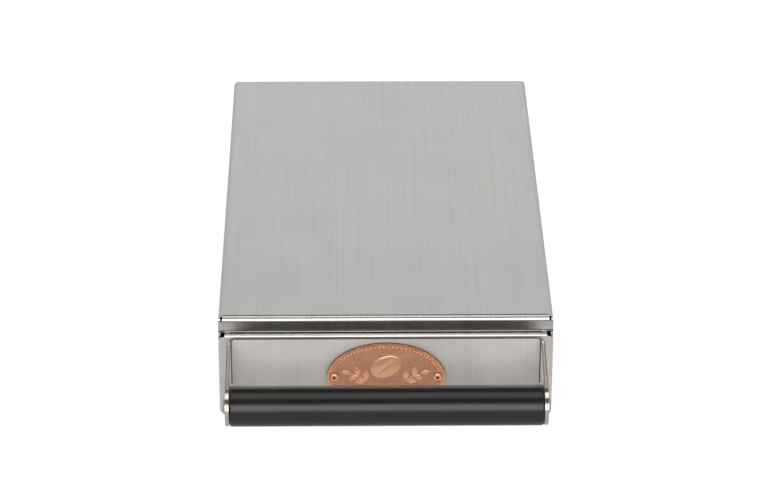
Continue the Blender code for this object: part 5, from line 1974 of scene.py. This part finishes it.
@dataclass
class KnockBar:
    """The rubber-sleeved rod across the tray, with a washer and a screw at each end."""

    finishes: Finishes
    y: float = 98.5
    z: float = 38.5
    core_half: float = 77.0
    core_radius: float = 4.0
    bore: float = 2.1
    bore_depth: float = 4.0
    sleeve_half: float = 73.0
    washer_inner: float = 78.8
    screw_seat: float = 80.1

    def build(self) -> list[Thing]:
        """Build the rod, its sleeve and its fixings.

        Returns:
            The pieces.
        """
        bm = bored_rod(self.core_radius, self.core_half, self.bore, self.bore_depth, rounding=0.4, steps=64, segments=2)
        placed(bm, Facing.RIGHT, (0, self.y, self.z))
        core = stand_in("knock_bar_core", "turned", Body.DRAWER, Slot.ROD, self.finishes.rod, bm)
        pieces = [core, self.build_sleeve()]
        for name, side in SIDES:
            pieces += self.build_fixing(name, side)
        return pieces

    def build_sleeve(self) -> Thing:
        """Mould the sleeve, with three shallow grooves near each end.

        Returns:
            The piece.
        """
        half = self.sleeve_half
        profile = [(4.3, half), (8.0, half)]
        for groove in range(3):
            top = half - 3.0 - groove * 2.2
            profile += [(8.0, top), (7.72, top - 0.25), (7.72, top - 0.55), (8.0, top - 0.8)]
        profile += [(radius, -height) for radius, height in reversed(profile)]
        bm = turned(profile, 72, closed=True, rounded=[(8.0, half, 1.0), (8.0, -half, 1.0)])
        placed(bm, Facing.RIGHT, (0, self.y, self.z))
        return stand_in("knock_bar_sleeve", "moulded", Body.DRAWER, Slot.RUBBER, self.finishes.rubber, bm)

    def build_fixing(self, name: str, side: int) -> list[Thing]:
        """Build the washer and the screw at one end.

        Args:
            name: Which side it is on.
            side: -1 on the left and 1 on the right.

        Returns:
            The two pieces.
        """
        ring = turned([(2.3, 0), (4.75, 0), (4.75, 1.0), (2.3, 1.0)], 48, closed=True)
        ease(ring, 0.18, 2)
        placed(ring, OUTWARD[side], (side * self.washer_inner, self.y, self.z))
        screw = hex_button_screw(head=8.0, height=2.2, socket=2.5, shank=4.0, length=9.0)
        placed(screw, OUTWARD[side], (side * self.screw_seat, self.y, self.z))
        pieces = []
        for kind, bm in (("washer", ring), ("screw", screw)):
            label = f"knock_bar_{kind}_{name}"
            pieces.append(stand_in(label, "turned", Body.DRAWER, Slot.FASTENER, self.finishes.fastener, bm))
        return pieces


@dataclass
class Studio:
    """The camera, the pale floor and the soft light."""

    camera_place: Point = (-0.02144, -1.60778, 0.88607)
    yaw: float = 0.0137
    pitch: float = 0.4874
    roll: float = 0.0027
    focal_pixels: float = 3169.42
    frame_width: float = 768.0
    sensor_width: float = 36.0
    floor_size: float = 14.0
    floor_colour: float = 0.80
    floor_shown: float = 0.24
    floor_glow: float = 0.86
    floor_mirrored: float = 0.34
    mirrored_glow: float = 0.38
    world_level: float = 0.68
    backdrop: tuple = ((0.0, 0.81), (0.44, 0.82), (0.50, 0.80), (0.55, 0.62), (0.62, 0.26), (0.70, 0.14), (1.0, 0.12))

    def build(self) -> None:
        """Set up the camera, the floor, the world and the lamps."""
        self.set_camera()
        self.lay_floor()
        self.light_world()
        self.hang_lamp("overhead_softbox", (0, -0.15, 1.75), (0, -0.15, 0), (2.2, 1.15), 1.08, (1.0, 0.985, 0.96))
        self.hang_lamp("front_softbox", (0, -2.6, 0.93), (0, -0.1, 0.03), (4.4, 1.6), 2.35, (1.0, 0.965, 0.925))
        bpy.context.scene.view_settings.view_transform = "Standard"

    def set_camera(self) -> None:
        """Place the camera that the photograph was fitted with."""
        ahead = math.cos(self.pitch)
        forward = Vector((math.sin(self.yaw) * ahead, math.cos(self.yaw) * ahead, -math.sin(self.pitch)))
        level = Vector((math.cos(self.yaw), -math.sin(self.yaw), 0))
        lifted = level.cross(forward)
        right = math.cos(self.roll) * level + math.sin(self.roll) * lifted
        up = math.cos(self.roll) * lifted - math.sin(self.roll) * level
        data = bpy.data.cameras.new("photo_camera")
        data.sensor_fit = "HORIZONTAL"
        data.sensor_width = self.sensor_width
        data.lens = self.focal_pixels * self.sensor_width / self.frame_width
        camera = bpy.data.objects.new("photo_camera", data)
        turn = Matrix((right, up, -forward)).transposed().to_4x4()
        camera.matrix_world = Matrix.Translation(self.camera_place) @ turn
        bpy.context.scene.collection.objects.link(camera)
        bpy.context.scene.camera = camera

    def lay_floor(self) -> None:
        """Lay a plain white floor that glows a little for what looks at it, and keeps the object's shadow."""
        bm = bmesh.new()
        bmesh.ops.create_grid(bm, x_segments=1, y_segments=1, size=self.floor_size / 2)
        mesh = bpy.data.meshes.new("studio_floor")
        bm.to_mesh(mesh)
        bm.free()
        floor = bpy.data.objects.new("studio_floor", mesh)
        bpy.context.scene.collection.objects.link(floor)
        material = bpy.data.materials.new("studio_floor")
        material.use_nodes = True
        nodes = Nodes(material.node_tree)
        seen_in_metal, seen_by_camera = self.rays(nodes)
        plain = self.floor_look(nodes, self.floor_colour, 0.0)
        in_metal = self.floor_look(nodes, self.floor_mirrored, self.mirrored_glow)
        shown = self.floor_look(nodes, self.floor_shown, self.floor_glow)
        lit = nodes.add("MixShader", {0: seen_in_metal, 1: plain, 2: in_metal}).outputs[0]
        mixed = nodes.add("MixShader", {0: seen_by_camera, 1: lit, 2: shown}).outputs[0]
        nodes.add("OutputMaterial", {0: mixed})
        mesh.materials.append(material)

    @staticmethod
    def rays(nodes: Nodes) -> tuple[Socket, Socket]:
        """Tell apart what metal or a clear thing sees from what the camera sees.

        Args:
            nodes: The tree that asks.

        Returns:
            1 for the first kind of ray, and 1 for the second.
        """
        path = nodes.add("LightPath").outputs
        return nodes.math("MAXIMUM", path["Is Glossy Ray"], path["Is Transmission Ray"]), path["Is Camera Ray"]

    @staticmethod
    def floor_look(nodes: Nodes, colour: float, glow: float) -> Socket:
        """Add a matt floor that shows shadows and glows by a set amount.

        Args:
            nodes: The floor's material tree.
            colour: How much light it returns.
            glow: How much it adds of its own.

        Returns:
            The shader's socket.
        """
        matt = nodes.add("BsdfDiffuse", {"Color": (colour, colour, colour, 1.0)}).outputs[0]
        own = nodes.add("Emission", {"Color": (1.0, 1.0, 1.0, 1.0), "Strength": glow}).outputs[0]
        return nodes.add("AddShader", {0: matt, 1: own}).outputs[0]

    def light_world(self) -> None:
        """Light the object evenly, show white behind it, and let metal see a backdrop that dims upwards."""
        world = bpy.data.worlds.new("studio")
        bpy.context.scene.world = world
        world.use_nodes = True
        world.cycles.sampling_method = "NONE"
        nodes = Nodes(world.node_tree)
        direction = nodes.add("TexCoord").outputs["Generated"]
        height = nodes.add("SeparateXYZ", {0: direction}).outputs[2]
        backdrop = nodes.add("ValToRGB", {0: height})
        ramp = backdrop.color_ramp
        while len(ramp.elements) < len(self.backdrop):
            ramp.elements.new(0.5)
        for element, (place, level) in zip(ramp.elements, self.backdrop):
            element.position = place
            element.color = (level, level, level * 0.985, 1.0)
        seen_in_metal, seen_by_camera = self.rays(nodes)
        lit = nodes.mix(seen_in_metal, (self.world_level,) * 3, backdrop.outputs[0])
        shown = nodes.mix(seen_by_camera, lit, (1.0, 1.0, 1.0))
        background = nodes.add("Background", {"Color": shown, "Strength": 1.0}).outputs[0]
        nodes.add("OutputWorld", {0: background})

    @staticmethod
    def hang_lamp(name: str, place: Point, target: Point, size: Pair, radiance: float, colour: Colour) -> None:
        """Hang a rectangular softbox.

        Args:
            name: The lamp's name.
            place: Where it hangs.
            target: What it points at.
            size: Its width and height.
            radiance: How bright its face is, where 1 is white.
            colour: The light's colour.
        """
        data = bpy.data.lights.new(name, "AREA")
        data.shape = "RECTANGLE"
        data.size, data.size_y = size
        data.energy = radiance * size[0] * size[1] * 4.0
        data.color = colour
        lamp = bpy.data.objects.new(name, data)
        aim = (Vector(target) - Vector(place)).to_track_quat("-Z", "Y")
        lamp.matrix_world = Matrix.Translation(place) @ aim.to_matrix().to_4x4()
        lamp.visible_camera = False
        bpy.context.scene.collection.objects.link(lamp)


def main() -> None:
    """Build the studio and every sub-assembly, and report each piece."""
    logging.basicConfig(level=logging.INFO, format="%(name)s: %(message)s")
    Studio().build()
    finishes = Finishes()
    for assembly in (Housing, Feet, Runners, Tray, DrawerFront, Bracket, HandleBar, Badge, KnockBar):
        for piece in assembly(finishes).build():
            LOG.info("%s: %s, %d faces", assembly.__name__, piece.name, len(piece.data.polygons))


if __name__ == "__main__":
    main()
